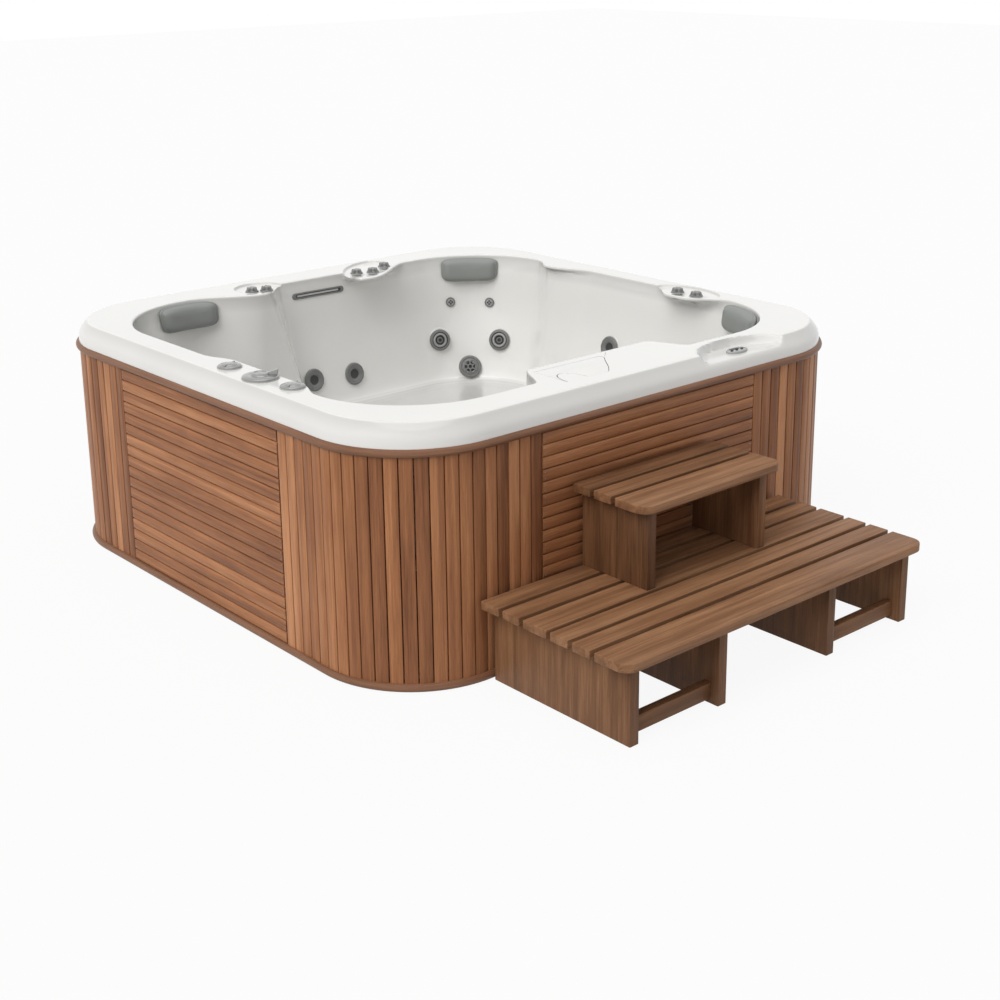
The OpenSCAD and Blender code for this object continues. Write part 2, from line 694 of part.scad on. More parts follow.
// Suction covers on the footwell's left wall, each on its threaded barrel, and the floor drain
module suction_covers() {
    color("gainsboro") for (t = suction_t) at_wall(t, suction_z) difference() {
        union() {
            translate([0, 0, seat_gap]) cylinder(r = suction_r + 16, h = 4);
            translate([0, 0, 4]) cylinder(r1 = suction_r + 16, r2 = suction_r + 8, h = 8);
            translate([0, 0, -60]) cylinder(r = suction_r, h = 62);
        }
        translate([0, 0, -52]) cylinder(r = suction_r - 6, h = 60);
        for (ring = [13, 25], k = [0:7]) rotate(45 * k + ring) translate([ring, 0, 4]) cylinder(r = 4, h = 20);
    }
}
module floor_drain() {
    color("gainsboro") translate([basin_cx, basin_cy, footwell_z]) {
        translate([0, 0, seat_gap]) cylinder(r = drain_r + 14, h = 3);
        translate([0, 0, 3]) cylinder(r1 = drain_r + 12, r2 = drain_r, h = 4);
        translate([0, 0, -50]) cylinder(r = drain_r - 8 - seat_gap, h = 52);
    }
}

// Valve bodies under the deck controls
module valve_bodies() {
    color("gainsboro") for (c = controls) at_control(c) difference() {
        union() {
            translate([0, 0, seat_gap]) cylinder(r = c[3] / 2, h = escutcheon_t - seat_gap);
            translate([0, 0, -valve_len(c)]) cylinder(r = valve_r(c[3]), h = valve_len(c) + 1);
            translate([0, 0, -shell_t - 9]) cylinder(r = valve_r(c[3]) + 6, h = 8, $fn = 6);
        }
        translate([0, 0, 4 - valve_len(c)]) cylinder(r = valve_r(c[3]) - 4, h = valve_len(c) + 10);
    }
}

// Air dial: low domed disc with a raised finger bar. The diverter's bar is longer and ends in a lever
module dial(c, dome, bar_h) {
    r = c[3] / 2 - 2;
    z0 = escutcheon_t + seat_gap;
    color("silver") at_control(c) {
        rotate_extrude($fn = 64) {
            translate([0, -stem_len]) square([valve_r(c[3]) - 4 - turn_gap, stem_len + 1 + z0]);
            translate([0, z0]) polygon([
                [0, 0], [r - 1, 0], [r, 1], [r, 3],
                for (k = [0:6]) let (a = 15 * k) [r * cos(a) * 0.98, 3 + dome * sin(a)],
            ]);
        }
        intersection() {
            translate([0, 0, z0]) cylinder(r = r * 0.86, h = dome + bar_h);
            translate([-r, -r * 0.13, z0 + 2]) cube([2 * r, r * 0.26, dome + bar_h]);
        }
    }
}
module air_dial_left() { dial(controls[0], 9, 11); }
module air_dial_right() { dial(controls[2], 9, 11); }
module diverter_dial() {
    c = controls[1];
    dial(c, 13, 9);
    color("silver") at_control(c) translate([c[3] * 0.2, 0, escutcheon_t + 13])
        rotate([0, 68, 0]) translate([0, 0, -8]) cylinder(r1 = 7, r2 = 4.5, h = 40, $fn = 32);
}

// Pad knob: six-lobed grip on a skirt
module pad_knob(i) {
    c = controls[i];
    r = c[3] / 2 - 1.5;
    z0 = escutcheon_t + seat_gap;
    color("silver") at_control(c) {
        translate([0, 0, z0]) cylinder(r = r, h = 4);
        translate([0, 0, -stem_len]) cylinder(r = valve_r(c[3]) - 4 - turn_gap, h = stem_len + 1 + z0);
        translate([0, 0, z0 + 3]) difference() {
            cylinder(r1 = r * 0.86, r2 = r * 0.74, h = 14);
            for (a = [0:60:300]) rotate(a) translate([r * 1.02, 0, -1]) cylinder(r = r * 0.3, h = 20, $fn = 24);
        }
    }
}
module pad_knob_1() { pad_knob(3); }
module pad_knob_2() { pad_knob(4); }
module pad_knob_3() { pad_knob(5); }
module pad_knob_4() { pad_knob(6); }
module pad_knob_5() { pad_knob(7); }
module pad_knob_6() { pad_knob(8); }
module pad_knob_7() { pad_knob(9); }

// Oval keypad in its recess, and its sprung buttons
module oval(w, d) { scale([w / 10, d / 10]) circle(5, $fn = 64); }
module keypad() {
    color("gainsboro") translate([keypad_cx, keypad_cy, keypad_floor]) difference() {
        union() {
            linear_extrude(keypad_t) hull() for (side = [-1, 1])
                translate([side * (keypad_w - keypad_d) / 2, 0]) circle(keypad_d / 2);
            translate([0, 0, -26]) cylinder(r = 12 - seat_gap, h = 28);
        }
        for (b = button_spots) translate([b.x, b.y, keypad_t - 5]) cylinder(r = button_d / 2 + turn_gap, h = 10);
    }
}
module keypad_button(i) {
    b = button_spots[i];
    color("dimgray") translate([keypad_cx + b.x, keypad_cy + b.y, keypad_floor + keypad_t - 5 + button_travel + seat_gap])
        cylinder(r = button_d / 2, h = 6);
}
module keypad_button_1() { keypad_button(0); }
module keypad_button_2() { keypad_button(1); }
module keypad_button_3() { keypad_button(2); }

// Filter well: a tall box under the lid, with a throat to the basin
module filter_well() {
    w = well_wall;
    color("gainsboro") difference() {
        union() {
            translate([well_x0, well_y0, well_top - well_h]) cube([well_w, well_y1 - well_y0, well_h]);
            translate([mouth_x - mouth_w / 2 + seat_gap, well_y1 - 1, mouth_z + seat_gap])
                cube([mouth_w - 2 * seat_gap, throat + 1, mouth_h - 2 * seat_gap]);
        }
        translate([well_x0 + w, well_y0 + w, well_top - well_h + w])
            cube([well_w - 2 * w, well_y1 - well_y0 - 2 * w, well_h]);
        translate([mouth_x - mouth_w / 2 + 1 + w, well_y1 - w - 1, mouth_z + 1 + w])
            cube([mouth_w - 2 - 2 * w, throat + 20, mouth_h - 2 - 2 * w]);
    }
}
cartridge_h = well_h - well_wall - 60;
cartridge_x = well_x1 - well_wall - cartridge_d / 2 - 8;
cartridge_y = (well_y0 + well_y1) / 2;
module filter_cartridge() {
    z0 = well_top - well_h + well_wall;
    pleats = 36;
    r = cartridge_d / 2;
    color("whitesmoke") translate([cartridge_x, cartridge_y, z0]) {
        cylinder(r = r, h = 12);
        translate([0, 0, cartridge_h - 12]) cylinder(r = r, h = 12);
        translate([0, 0, 11]) linear_extrude(cartridge_h - 22) difference() {
            polygon([for (k = [0:2 * pleats - 1]) let (a = 180 * k / pleats, p = k % 2 == 0 ? r - 2 : r - 14)
                     [p * cos(a), p * sin(a)]]);
            circle(20);
        }
        translate([0, 0, cartridge_h - 1]) cylinder(r = 5, h = 26);
        translate([-30, -5, cartridge_h + 14]) cube([60, 10, 10]);
    }
}
module filter_lid() {
    color("white") difference() {
        translate([0, 0, rim_z - lid_t]) linear_extrude(lid_t) difference() {
            lid_plan(0);
            lid_notch(finger_r);
        }
        translate([0, 0, rim_z - lid_t - 1]) linear_extrude(lid_t - 5)
            intersection() {
                translate([well_x0 + 14, well_y0 + 40]) square([well_w - 44, well_y1 - well_y0 - 54]);
                lid_plan(-12);
            }
    }
}
// Weir flap in the well's throat: it hangs up on a pin at its foot and tips into the well
weir_pin_r = 4;
weir_y = well_y1 + 8;
weir_z = mouth_z + 1 + well_wall + weir_pin_r + seat_gap;
weir_half = mouth_w / 2 - 1 - well_wall - seat_gap;
module weir_flap() {
    color("gainsboro") {
        translate([mouth_x - weir_half + 4, weir_y - 2, weir_z + 2])
            cube([2 * weir_half - 8, 4, mouth_h - 2 * well_wall - 20]);
        translate([mouth_x - weir_half, weir_y, weir_z]) rotate([0, 90, 0]) cylinder(r = weir_pin_r, h = 2 * weir_half);
    }
}

// Head pillows: crowned cushions whose sides draw in, bent to follow the wall behind them
pillow_spots = [1.337, 0.529, 3.585];
pillow_z = rim_z - lip_round - 2 - pillow_h / 2;
pillow_stand = 1.5;
// Loops from the back to the crown: share of the outline, share of the thickness
pillow_loops = [[0.9, 0], [0.985, 0.12], [1, 0.3], [0.985, 0.52], [0.93, 0.74], [0.8, 0.9], [0.5, 0.98]];
pillow_n = 44;
function pillow_edge(a) =
    let (p = 0.42, taper = 1 + 0.07 * sin(a))
    [sign(cos(a)) * pow(abs(cos(a)), p) * taper * pillow_w / 2, sign(sin(a)) * pow(abs(sin(a)), p) * pillow_h / 2];
function pillow_point(t, e, depth) =
    let (span = norm(wall_row(t + 0.02, pillow_z) - wall_row(t - 0.02, pillow_z)) / 0.04,
         u = t + e.x / span,
         across = wall_row(u + 0.03, pillow_z) - wall_row(u - 0.03, pillow_z),
         n = [-across.y, across.x, 0] / norm(across))
    wall_at(u, pillow_z + e.y) + n * (pillow_stand + depth);
module pillow(t) {
    n = pillow_n;
    m = len(pillow_loops);
    rings = [for (loop = pillow_loops) [for (k = [0:n - 1])
             pillow_point(t, pillow_edge(360 * k / n) * loop[0], pillow_t * loop[1])]];
    points = [for (r = rings) each r, pillow_point(t, [0, 0], 0), pillow_point(t, [0, 0], pillow_t)];
    faces = [
        for (k = [0:n - 1]) [m * n, k, (k + 1) % n],
        for (i = [0:m - 2], k = [0:n - 1]) let (a = i * n + k, b = i * n + (k + 1) % n)
            each [[a, a + n, b], [b, a + n, b + n]],
        for (k = [0:n - 1]) [m * n + 1, (m - 1) * n + (k + 1) % n, (m - 1) * n + k],
    ];
    polyhedron(points, faces);
}
module pillows() { color("gray") for (t = pillow_spots) pillow(t); }

// Jet pumps under the left seats: motor, wet end, inlet and outlet, foot
pump_r = 74;
pump_x = -half + 300;
pump_z = pan_t + 98;
module pump() {
    translate([0, 0, pump_z]) rotate([90, 0, 0]) {
        translate([0, 0, -210]) cylinder(r = pump_r, h = 220);
        translate([0, 0, -232]) cylinder(r1 = 44, r2 = pump_r - 8, h = 23);
        for (k = [0:7]) translate([0, 0, 12 - 26 * k]) cylinder(r = pump_r + 5, h = 5);
        translate([0, 0, 8]) cylinder(r = 88, h = 64);
        translate([0, 0, 70]) cylinder(r = 40, h = 24);
        translate([0, 0, 90]) cylinder(r = 30, h = 30);
    }
    translate([58, -40, pump_z]) cylinder(r = 30, h = 128);
    translate([58, -40, pump_z + 96]) cylinder(r = 40, h = 22);
    translate([-70, -70, pan_t]) cube([140, 250, 10]);
    translate([-40, -60, pan_t + 9]) cube([80, 230, 40]);
}
module jet_pumps() {
    color("darkslategray") for (y = [-250, 230]) translate([pump_x, y, 0]) pump();
}

// Control box on the base pan, heater tube on its side, air blower
box_w = 210;
box_d = 260;
box_h = 230;
box_x = -half + 170;
box_y = half - 540;
module control_box() {
    color("dimgray") translate([box_x, box_y, pan_t]) {
        cube([box_w, box_d, box_h]);
        translate([12, 12, box_h]) cube([box_w - 24, box_d - 24, 8]);
        for (k = [0:4]) translate([30 + 38 * k, -14, 40]) rotate([-90, 0, 0]) cylinder(r = 11, h = 16);
    }
}
heater_r = 32;
module heater() {
    color("silver") translate([box_x + box_w + heater_r + 10, box_y - 30, pan_t + 120]) rotate([-90, 0, 0]) {
        cylinder(r = heater_r, h = box_d + 60);
        for (z = [0, box_d + 36]) translate([0, 0, z]) cylinder(r = heater_r + 9, h = 24);
        for (z = [80, box_d - 40]) translate([-heater_r - 10, -12, z]) cube([heater_r + 10, 24, 16]);
    }
}
module air_blower() {
    color("dimgray") translate([-half + 320, -half + 380, pan_t]) {
        cylinder(r = 84, h = 120);
        translate([0, 0, 119]) cylinder(r1 = 84, r2 = 60, h = 30);
        translate([0, 0, 148]) cylinder(r = 60, h = 22);
        translate([40, 0, 60]) rotate([0, 90, 0]) cylinder(r = 24, h = 90);
    }
}

// Drain valve with a hose thread, and the supply cable's gland, through the back panel
nipple_r = 13.2;
gland_bore_r = 9;
module port_fitting() {
    translate([0, 0, seat_gap]) cylinder(r = port_r + 8, h = 4);
    translate([0, 0, -46]) cylinder(r = port_r - 1, h = 48);
    translate([0, 0, -board_t - 15]) cylinder(r = port_r + 7, h = 10, $fn = 6);
}
module drain_valve() {
    color("gainsboro") on_side(1) at_port(drain_along) difference() {
        union() {
            port_fitting();
            translate([0, 0, 4]) cylinder(r = nipple_r, h = 26);
        }
        translate([0, 0, -60]) cylinder(r = 9, h = 120);
    }
}
module cable_gland() {
    color("dimgray") on_side(1) at_port(cable_along) difference() {
        union() {
            port_fitting();
            translate([0, 0, 4]) cylinder(r = port_r - 3, h = 16, $fn = 6);
        }
        translate([0, 0, -60]) cylinder(r = gland_bore_r, h = 120);
    }
}

// Steps: upright boards, slats with eased edges, front slats with round corners, stretchers
module upright(x, depth, z0, h) {
    translate([x, step_back - depth, z0]) cube([upright_t, depth, h]);
}
module step_uprights() {
    color("sienna") {
        for (x = lower_boards_x) upright(x, lower_board_d, 0, step_rise - slat_t);
        for (i = [1, 2]) upright(lower_boards_x[i], upper_board_d, step_rise, step_rise_2 - slat_t);
    }
}
module slat(w, run) {
    ease = 3;
    rotate([90, 0, 90]) linear_extrude(run) polygon([
        [0, 0], [w, 0], [w, slat_t - ease], [w - ease, slat_t], [ease, slat_t], [0, slat_t - ease],
    ]);
}
module tier(x0, run, slats, top) {
    for (i = [0:len(slats) - 1])
        translate([x0, step_back - slats_depth(slats, i) - slats[i], top - slat_t]) slat(slats[i], run);
    r = slat_round;
    translate([x0, step_back - tier_depth(slats), top - slat_t]) linear_extrude(slat_t) union() {
        translate([0, r]) square([run, front_slat_w - r]);
        translate([r, 0]) square([run - 2 * r, r]);
        for (x = [r, run - r]) translate([x, r]) circle(r);
    }
}
module step_slats() {
    color("peru") {
        tier(lower_x0, lower_len, lower_slats, step_rise);
        tier(upper_x0, upper_len, upper_slats, upper_z);
    }
}
module step_stretchers() {
    color("sienna") for (i = [0, 2]) {
        x0 = lower_boards_x[i] + upright_t;
        translate([x0, step_back - lower_board_d + stretcher_back, stretcher_z])
            cube([lower_boards_x[i + 1] - x0, stretcher_t, stretcher_h]);
    }
}

base_pan();
base_trim();
top_trim();
timber_frame();
corner_formers();
corner_staves();
front_panel();
back_panel();
right_panel();
service_panel();
panel_screws();
service_screws();
tub_shell();
shell_blocks();
footwell_cradle();
jet_bodies();
jet_face_1();
jet_face_2();
jet_face_3();
jet_face_4();
jet_face_5();
jet_face_6();
jet_face_7();
jet_face_8();
neck_jet_set();
waterfall_spout();
suction_covers();
floor_drain();
valve_bodies();
air_dial_left();
diverter_dial();
air_dial_right();
pad_knob_1();
pad_knob_2();
pad_knob_3();
pad_knob_4();
pad_knob_5();
pad_knob_6();
pad_knob_7();
keypad();
keypad_button_1();
keypad_button_2();
keypad_button_3();
filter_well();
filter_cartridge();
filter_lid();
weir_flap();
pillows();
jet_pumps();
heater();
control_box();
air_blower();
drain_valve();
cable_gland();
step_uprights();
step_slats();
step_stretchers();
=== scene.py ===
import json
import math
import random

import bmesh
import bpy
import numpy as np
from mathutils import Matrix, Vector


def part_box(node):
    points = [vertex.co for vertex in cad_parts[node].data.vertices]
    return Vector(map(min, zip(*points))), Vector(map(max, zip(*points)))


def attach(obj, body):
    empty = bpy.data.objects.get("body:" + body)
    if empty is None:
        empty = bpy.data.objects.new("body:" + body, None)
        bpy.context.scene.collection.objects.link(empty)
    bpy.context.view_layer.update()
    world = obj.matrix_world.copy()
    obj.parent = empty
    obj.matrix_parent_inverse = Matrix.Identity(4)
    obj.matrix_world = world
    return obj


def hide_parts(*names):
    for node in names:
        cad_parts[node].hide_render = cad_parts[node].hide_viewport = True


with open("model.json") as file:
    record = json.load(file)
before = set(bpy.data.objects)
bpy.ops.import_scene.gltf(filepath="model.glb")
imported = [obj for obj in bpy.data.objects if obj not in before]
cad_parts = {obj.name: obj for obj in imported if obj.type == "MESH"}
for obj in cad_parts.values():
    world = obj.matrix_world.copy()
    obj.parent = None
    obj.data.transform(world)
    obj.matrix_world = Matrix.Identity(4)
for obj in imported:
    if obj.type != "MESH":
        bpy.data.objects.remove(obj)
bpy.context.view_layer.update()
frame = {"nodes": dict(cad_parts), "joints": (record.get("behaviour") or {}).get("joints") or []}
nodes = frame["nodes"]
scene = bpy.context.scene
print("frame loaded:", len(nodes), "CAD nodes")

# Places read from the frame, in metres
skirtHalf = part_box("right_panel")[1].x
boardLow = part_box("corner_staves")[0].z
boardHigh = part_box("corner_staves")[1].z
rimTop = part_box("filter_lid")[1].z
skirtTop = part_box("top_trim")[1].z
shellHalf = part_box("tub_shell")[1].x
joints = {j["name"]: j for j in frame["joints"]}
cornerRadius = 0.365


# Node trees

def addNode(tree, kind, inputs=None, **settings):
    made = tree.nodes.new(kind)
    for key, value in settings.items():
        setattr(made, key, value)
    for key, value in (inputs or {}).items():
        if isinstance(value, bpy.types.NodeSocket):
            tree.links.new(value, made.inputs[key])
        else:
            made.inputs[key].default_value = value
    return made


def mathNode(tree, operation, a, b=0.0):
    return addNode(tree, "ShaderNodeMath", {0: a, 1: b}, operation=operation).outputs[0]


def newTree(name, kind, ins, outs):
    tree = bpy.data.node_groups.new(name, kind)
    for label, socketType, value in ins:
        socket = tree.interface.new_socket(label, in_out="INPUT", socket_type="NodeSocket" + socketType)
        if value is not None:
            socket.default_value = value
    for label, socketType in outs:
        tree.interface.new_socket(label, in_out="OUTPUT", socket_type="NodeSocket" + socketType)
    return tree, addNode(tree, "NodeGroupInput").outputs, addNode(tree, "NodeGroupOutput").inputs


def noiseField(tree, vector, stretch, detail, roughness=0.55, distortion=0.0):
    moved = addNode(tree, "ShaderNodeVectorMath", {0: vector, 1: stretch}, operation="MULTIPLY")
    field = addNode(tree, "ShaderNodeTexNoise", {
        "Vector": moved.outputs[0], "Scale": 1.0, "Detail": detail,
        "Roughness": roughness, "Distortion": distortion})
    return field.outputs[0]


def mapRange(tree, value, low, high, toLow=0.0, toHigh=1.0):
    return addNode(tree, "ShaderNodeMapRange", {
        "Value": value, "From Min": low, "From Max": high, "To Min": toLow, "To Max": toHigh}).outputs[0]


def mixColor(tree, blend, factor, a, b):
    inputs = {0: factor, 6: a, 7: b}
    return addNode(tree, "ShaderNodeMix", inputs, data_type="RGBA", blend_type=blend).outputs[2]


# Noises of a sawn board, stretched along X, with their shares of the tone. Below "tones" a board is
# dark, above it light
grainLook = {
    "broad": (1.4, 46, 46), "fibres": (9, 330, 330), "clouds": (3.1, 9, 9), "pores": (26, 900, 900),
    "broadShare": 0.46, "fibreShare": 0.34, "cloudShare": 0.2, "tones": (0.3, 0.52, 0.74),
    "poreRange": (0.6, 0.78), "poreShare": 0.45, "poreTint": (0.3, 0.2, 0.16, 1),
    "boardShift": (17.3, 5.7, 3.1),
}


def makeWoodGroup():
    tree, ins, outs = newTree("woodGrain", "ShaderNodeTree", [
        ("Vector", "Vector", (0, 0, 0)), ("Board", "Float", 0.5),
        ("Spread", "Float", 0.5), ("Dark", "Color", (0.1, 0.05, 0.03, 1)),
        ("Middle", "Color", (0.2, 0.1, 0.06, 1)), ("Light", "Color", (0.4, 0.2, 0.1, 1)),
    ], [("Color", "Color"), ("Height", "Float")])
    look = grainLook
    shift = addNode(tree, "ShaderNodeVectorMath", {0: look["boardShift"], 3: ins["Board"]}, operation="SCALE")
    moved = addNode(tree, "ShaderNodeVectorMath", {0: ins["Vector"], 1: shift.outputs[0]}, operation="ADD")
    place = moved.outputs[0]
    broad = noiseField(tree, place, look["broad"], 3, 0.5, 0.6)
    fibres = noiseField(tree, place, look["fibres"], 4, 0.6)
    clouds = noiseField(tree, place, look["clouds"], 2)
    pores = mapRange(tree, noiseField(tree, place, look["pores"], 2), *look["poreRange"])
    tone = mathNode(tree, "MULTIPLY", broad, look["broadShare"])
    tone = mathNode(tree, "ADD", tone, mathNode(tree, "MULTIPLY", fibres, look["fibreShare"]))
    tone = mathNode(tree, "ADD", tone, mathNode(tree, "MULTIPLY", clouds, look["cloudShare"]))
    own = mathNode(tree, "MULTIPLY", mathNode(tree, "SUBTRACT", ins["Board"], 0.5), ins["Spread"])
    tone = mathNode(tree, "ADD", tone, own)
    darkest, middle, lightest = look["tones"]
    lower = mixColor(tree, "MIX", mapRange(tree, tone, darkest, middle), ins["Dark"], ins["Middle"])
    color = mixColor(tree, "MIX", mapRange(tree, tone, middle, lightest), lower, ins["Light"])
    poreShare = mathNode(tree, "MULTIPLY", pores, look["poreShare"])
    color = mixColor(tree, "MULTIPLY", poreShare, color, look["poreTint"])
    tree.links.new(color, outs["Color"])
    height = mathNode(tree, "SUBTRACT", mathNode(tree, "ADD", fibres, broad), pores)
    tree.links.new(height, outs["Height"])
    return tree


# Fine unevenness of a moulded or cast surface: a slight ripple, and marks that change the gloss
skinLook = {"marksScale": 0.23, "glossRange": (0.35, 0.65), "shadeRange": (0.3, 0.7, 0.94, 1.0),
            "speckleShare": 0.25, "coatRoughness": 0.08, "bumpDepth": 0.0008}


def makeSkinGroup():
    tree, ins, outs = newTree("mouldedSkin", "ShaderNodeTree", [
        ("Vector", "Vector", (0, 0, 0)), ("Ripple", "Float", 30.0),
        ("Speckle", "Float", 900.0), ("Low", "Float", 0.2), ("High", "Float", 0.3),
    ], [("Roughness", "Float"), ("Height", "Float"), ("Shade", "Float")])

    def noise(scale, detail):
        inputs = {"Vector": ins["Vector"], "Scale": scale, "Detail": detail}
        return addNode(tree, "ShaderNodeTexNoise", inputs).outputs[0]

    ripple = noise(ins["Ripple"], 2.0)
    speckle = noise(ins["Speckle"], 2.0)
    marks = noise(mathNode(tree, "MULTIPLY", ins["Ripple"], skinLook["marksScale"]), 6.0)
    span = mathNode(tree, "SUBTRACT", ins["High"], ins["Low"])
    rough = mathNode(tree, "MULTIPLY", mapRange(tree, marks, *skinLook["glossRange"]), span)
    tree.links.new(mathNode(tree, "ADD", rough, ins["Low"]), outs["Roughness"])
    height = mathNode(tree, "ADD", ripple, mathNode(tree, "MULTIPLY", speckle, skinLook["speckleShare"]))
    tree.links.new(height, outs["Height"])
    tree.links.new(mapRange(tree, marks, *skinLook["shadeRange"]), outs["Shade"])
    return tree


woodGroup = makeWoodGroup()
skinGroup = makeSkinGroup()


# Materials

def newMaterial(name, shader):
    material = bpy.data.materials.new(name)
    material.use_nodes = True
    principled = material.node_tree.nodes["Principled BSDF"]
    for key, value in shader.items():
        principled.inputs[key].default_value = value
    return material, material.node_tree, principled


def addBump(tree, principled, height, strength, distance):
    bump = addNode(tree, "ShaderNodeBump", {"Height": height, "Strength": strength, "Distance": distance})
    tree.links.new(bump.outputs[0], principled.inputs["Normal"])


woodSurface = {"coatRoughness": 0.35, "specular": 0.22, "bump": 0.35, "bumpDepth": 0.0006}


# The grain follows each board by its own attributes, or else the object
def makeWood(name, look, followBoard=True):
    material, tree, principled = newMaterial(name, {
        "Roughness": look["roughness"], "Coat Weight": look["coat"],
        "Coat Roughness": woodSurface["coatRoughness"], "Specular IOR Level": woodSurface["specular"]})
    if followBoard:
        place = addNode(tree, "ShaderNodeAttribute", attribute_name="grainPlace").outputs["Vector"]
        board = addNode(tree, "ShaderNodeAttribute", attribute_name="boardTone").outputs["Fac"]
    else:
        place = addNode(tree, "ShaderNodeTexCoord").outputs["Object"]
        board = 0.5
    grain = addNode(tree, "ShaderNodeGroup", {
        "Vector": place, "Board": board, "Spread": look["spread"], "Dark": (*look["dark"], 1),
        "Middle": (*look["middle"], 1), "Light": (*look["light"], 1)}, node_tree=woodGroup)
    tree.links.new(grain.outputs["Color"], principled.inputs["Base Color"])
    addBump(tree, principled, grain.outputs["Height"], woodSurface["bump"], woodSurface["bumpDepth"])
    return material


# Painted shade: level faces inside the basin and the steep face of the rim lose a share of their white, as if
# in shade
def paintedShadeTint(tree, place, tint, paintedShade):
    height = addNode(tree, "ShaderNodeSeparateXYZ", {"Vector": place}).outputs["Z"]
    normal = addNode(tree, "ShaderNodeNewGeometry").outputs["True Normal"]
    upward = addNode(tree, "ShaderNodeSeparateXYZ", {"Vector": normal}).outputs["Z"]
    level = mapRange(tree, upward, *paintedShade["level"])
    outside = mapRange(tree, height, *paintedShade["height"])
    below = mathNode(tree, "MULTIPLY", mathNode(tree, "SUBTRACT", 1.0, outside), level)
    above = mathNode(tree, "MULTIPLY", outside, mathNode(tree, "SUBTRACT", 1.0, level))
    shadeLoss = mathNode(tree, "ADD", mathNode(tree, "MULTIPLY", below, paintedShade["seatShadeShare"]),
                    mathNode(tree, "MULTIPLY", above, paintedShade["rimShadeShare"]))
    kept = mathNode(tree, "SUBTRACT", 1.0, shadeLoss)
    return addNode(tree, "ShaderNodeVectorMath", {0: tint, 3: kept}, operation="SCALE").outputs[0]


def makeMoulded(name, look):
    material, tree, principled = newMaterial(name, {
        "Coat Weight": look.get("coat", 0.0), "Coat Roughness": skinLook["coatRoughness"],
        "Metallic": look.get("metallic", 0.0)})
    place = addNode(tree, "ShaderNodeTexCoord").outputs["Object"]
    skin = addNode(tree, "ShaderNodeGroup", {
        "Vector": place, "Ripple": look["ripple"], "Speckle": look["speckle"],
        "Low": look["gloss"][0], "High": look["gloss"][1]}, node_tree=skinGroup)
    tint = mixColor(tree, "MULTIPLY", 1.0, (*look["color"], 1), skin.outputs["Shade"])
    # Painted shade darkens the white by height and slope
    if "paintedShade" in look:
        tint = paintedShadeTint(tree, place, tint, look["paintedShade"])
    tree.links.new(tint, principled.inputs["Base Color"])
    tree.links.new(skin.outputs["Roughness"], principled.inputs["Roughness"])
    addBump(tree, principled, skin.outputs["Height"], look["bump"], skinLook["bumpDepth"])
    return material


skirtTones = {
    "dark": (0.15, 0.056, 0.024), "middle": (0.325, 0.135, 0.057), "light": (0.54, 0.255, 0.12),
    "roughness": 0.5, "coat": 0.07}
panelWood = makeWood("panelWood", {**skirtTones, "spread": 0.13})
staveWood = makeWood("staveWood", {**skirtTones, "spread": 0.32})
stepWood = makeWood("stepWood", {
    "dark": (0.08, 0.036, 0.017), "middle": (0.19, 0.09, 0.042), "light": (0.35, 0.185, 0.095),
    "roughness": 0.55, "coat": 0.05, "spread": 0.2})
trimWood = makeWood("trimWood", {
    "dark": (0.125, 0.058, 0.03), "middle": (0.2, 0.095, 0.052), "light": (0.31, 0.16, 0.09),
    "roughness": 0.45, "coat": 0.15, "spread": 0.1})
framePine = makeWood("framePine", {
    "dark": (0.34, 0.2, 0.1), "middle": (0.52, 0.35, 0.19), "light": (0.66, 0.5, 0.31),
    "roughness": 0.7, "coat": 0.0, "spread": 0.2}, followBoard=False)
# Painted shade: the upward parts of the normal and the heights between which the white changes, and what it
# loses
whiteAcrylic = makeMoulded("whiteAcrylic", {
    "color": (0.78, 0.775, 0.755), "gloss": (0.1, 0.16), "ripple": 6.0, "speckle": 700.0, "bump": 0.02,
    "coat": 0.5, "paintedShade": {"level": (0.75, 0.99), "height": (0.8, 0.86), "seatShadeShare": 0.3, "rimShadeShare": 0.27}})
jetSurface = {"ripple": 60.0, "speckle": 1500.0, "bump": 0.05}
jetGray = makeMoulded("jetGray", {
    **jetSurface, "color": (0.16, 0.16, 0.156), "gloss": (0.26, 0.38), "coat": 0.2})
jetLight = makeMoulded("jetLight", {
    **jetSurface, "color": (0.33, 0.33, 0.325), "gloss": (0.22, 0.32), "coat": 0.3})
# Near black: painted shade on the floors of the jets' holes and grooves and in the waterfall's slot, and the
# colour of the keypad's window and the neck jets' nozzles
jetDarkAndHoleShade = makeMoulded("jetDarkAndHoleShade", {**jetSurface, "color": (0.035, 0.035, 0.035), "gloss": (0.4, 0.55)})
jetTones = [jetGray, jetLight, jetDarkAndHoleShade]
dialSurface = {"ripple": 50.0, "speckle": 1200.0, "bump": 0.04, "coat": 0.5}
dialSilver = makeMoulded("dialSilver", {
    **dialSurface, "color": (0.3, 0.3, 0.295), "gloss": (0.16, 0.26), "metallic": 0.45})
knobSilver = makeMoulded("knobSilver", {
    **dialSurface, "color": (0.19, 0.19, 0.185), "gloss": (0.2, 0.3), "metallic": 0.3})
fittingGray = makeMoulded("fittingGray", {
    "color": (0.45, 0.45, 0.44), "gloss": (0.3, 0.42), "ripple": 60.0, "speckle": 1200.0, "bump": 0.05})
pillowSkin = makeMoulded("pillowSkin", {
    "color": (0.235, 0.245, 0.235), "gloss": (0.42, 0.55), "ripple": 14.0, "speckle": 2200.0, "bump": 0.1})
darkPlastic = makeMoulded("darkPlastic", {
    "color": (0.03, 0.032, 0.035), "gloss": (0.4, 0.6), "ripple": 25.0, "speckle": 900.0, "bump": 0.12})
screwSteel = makeMoulded("screwSteel", {
    "color": (0.3, 0.29, 0.27), "gloss": (0.3, 0.45), "ripple": 90.0, "speckle": 2500.0, "bump": 0.05,
    "metallic": 0.9})
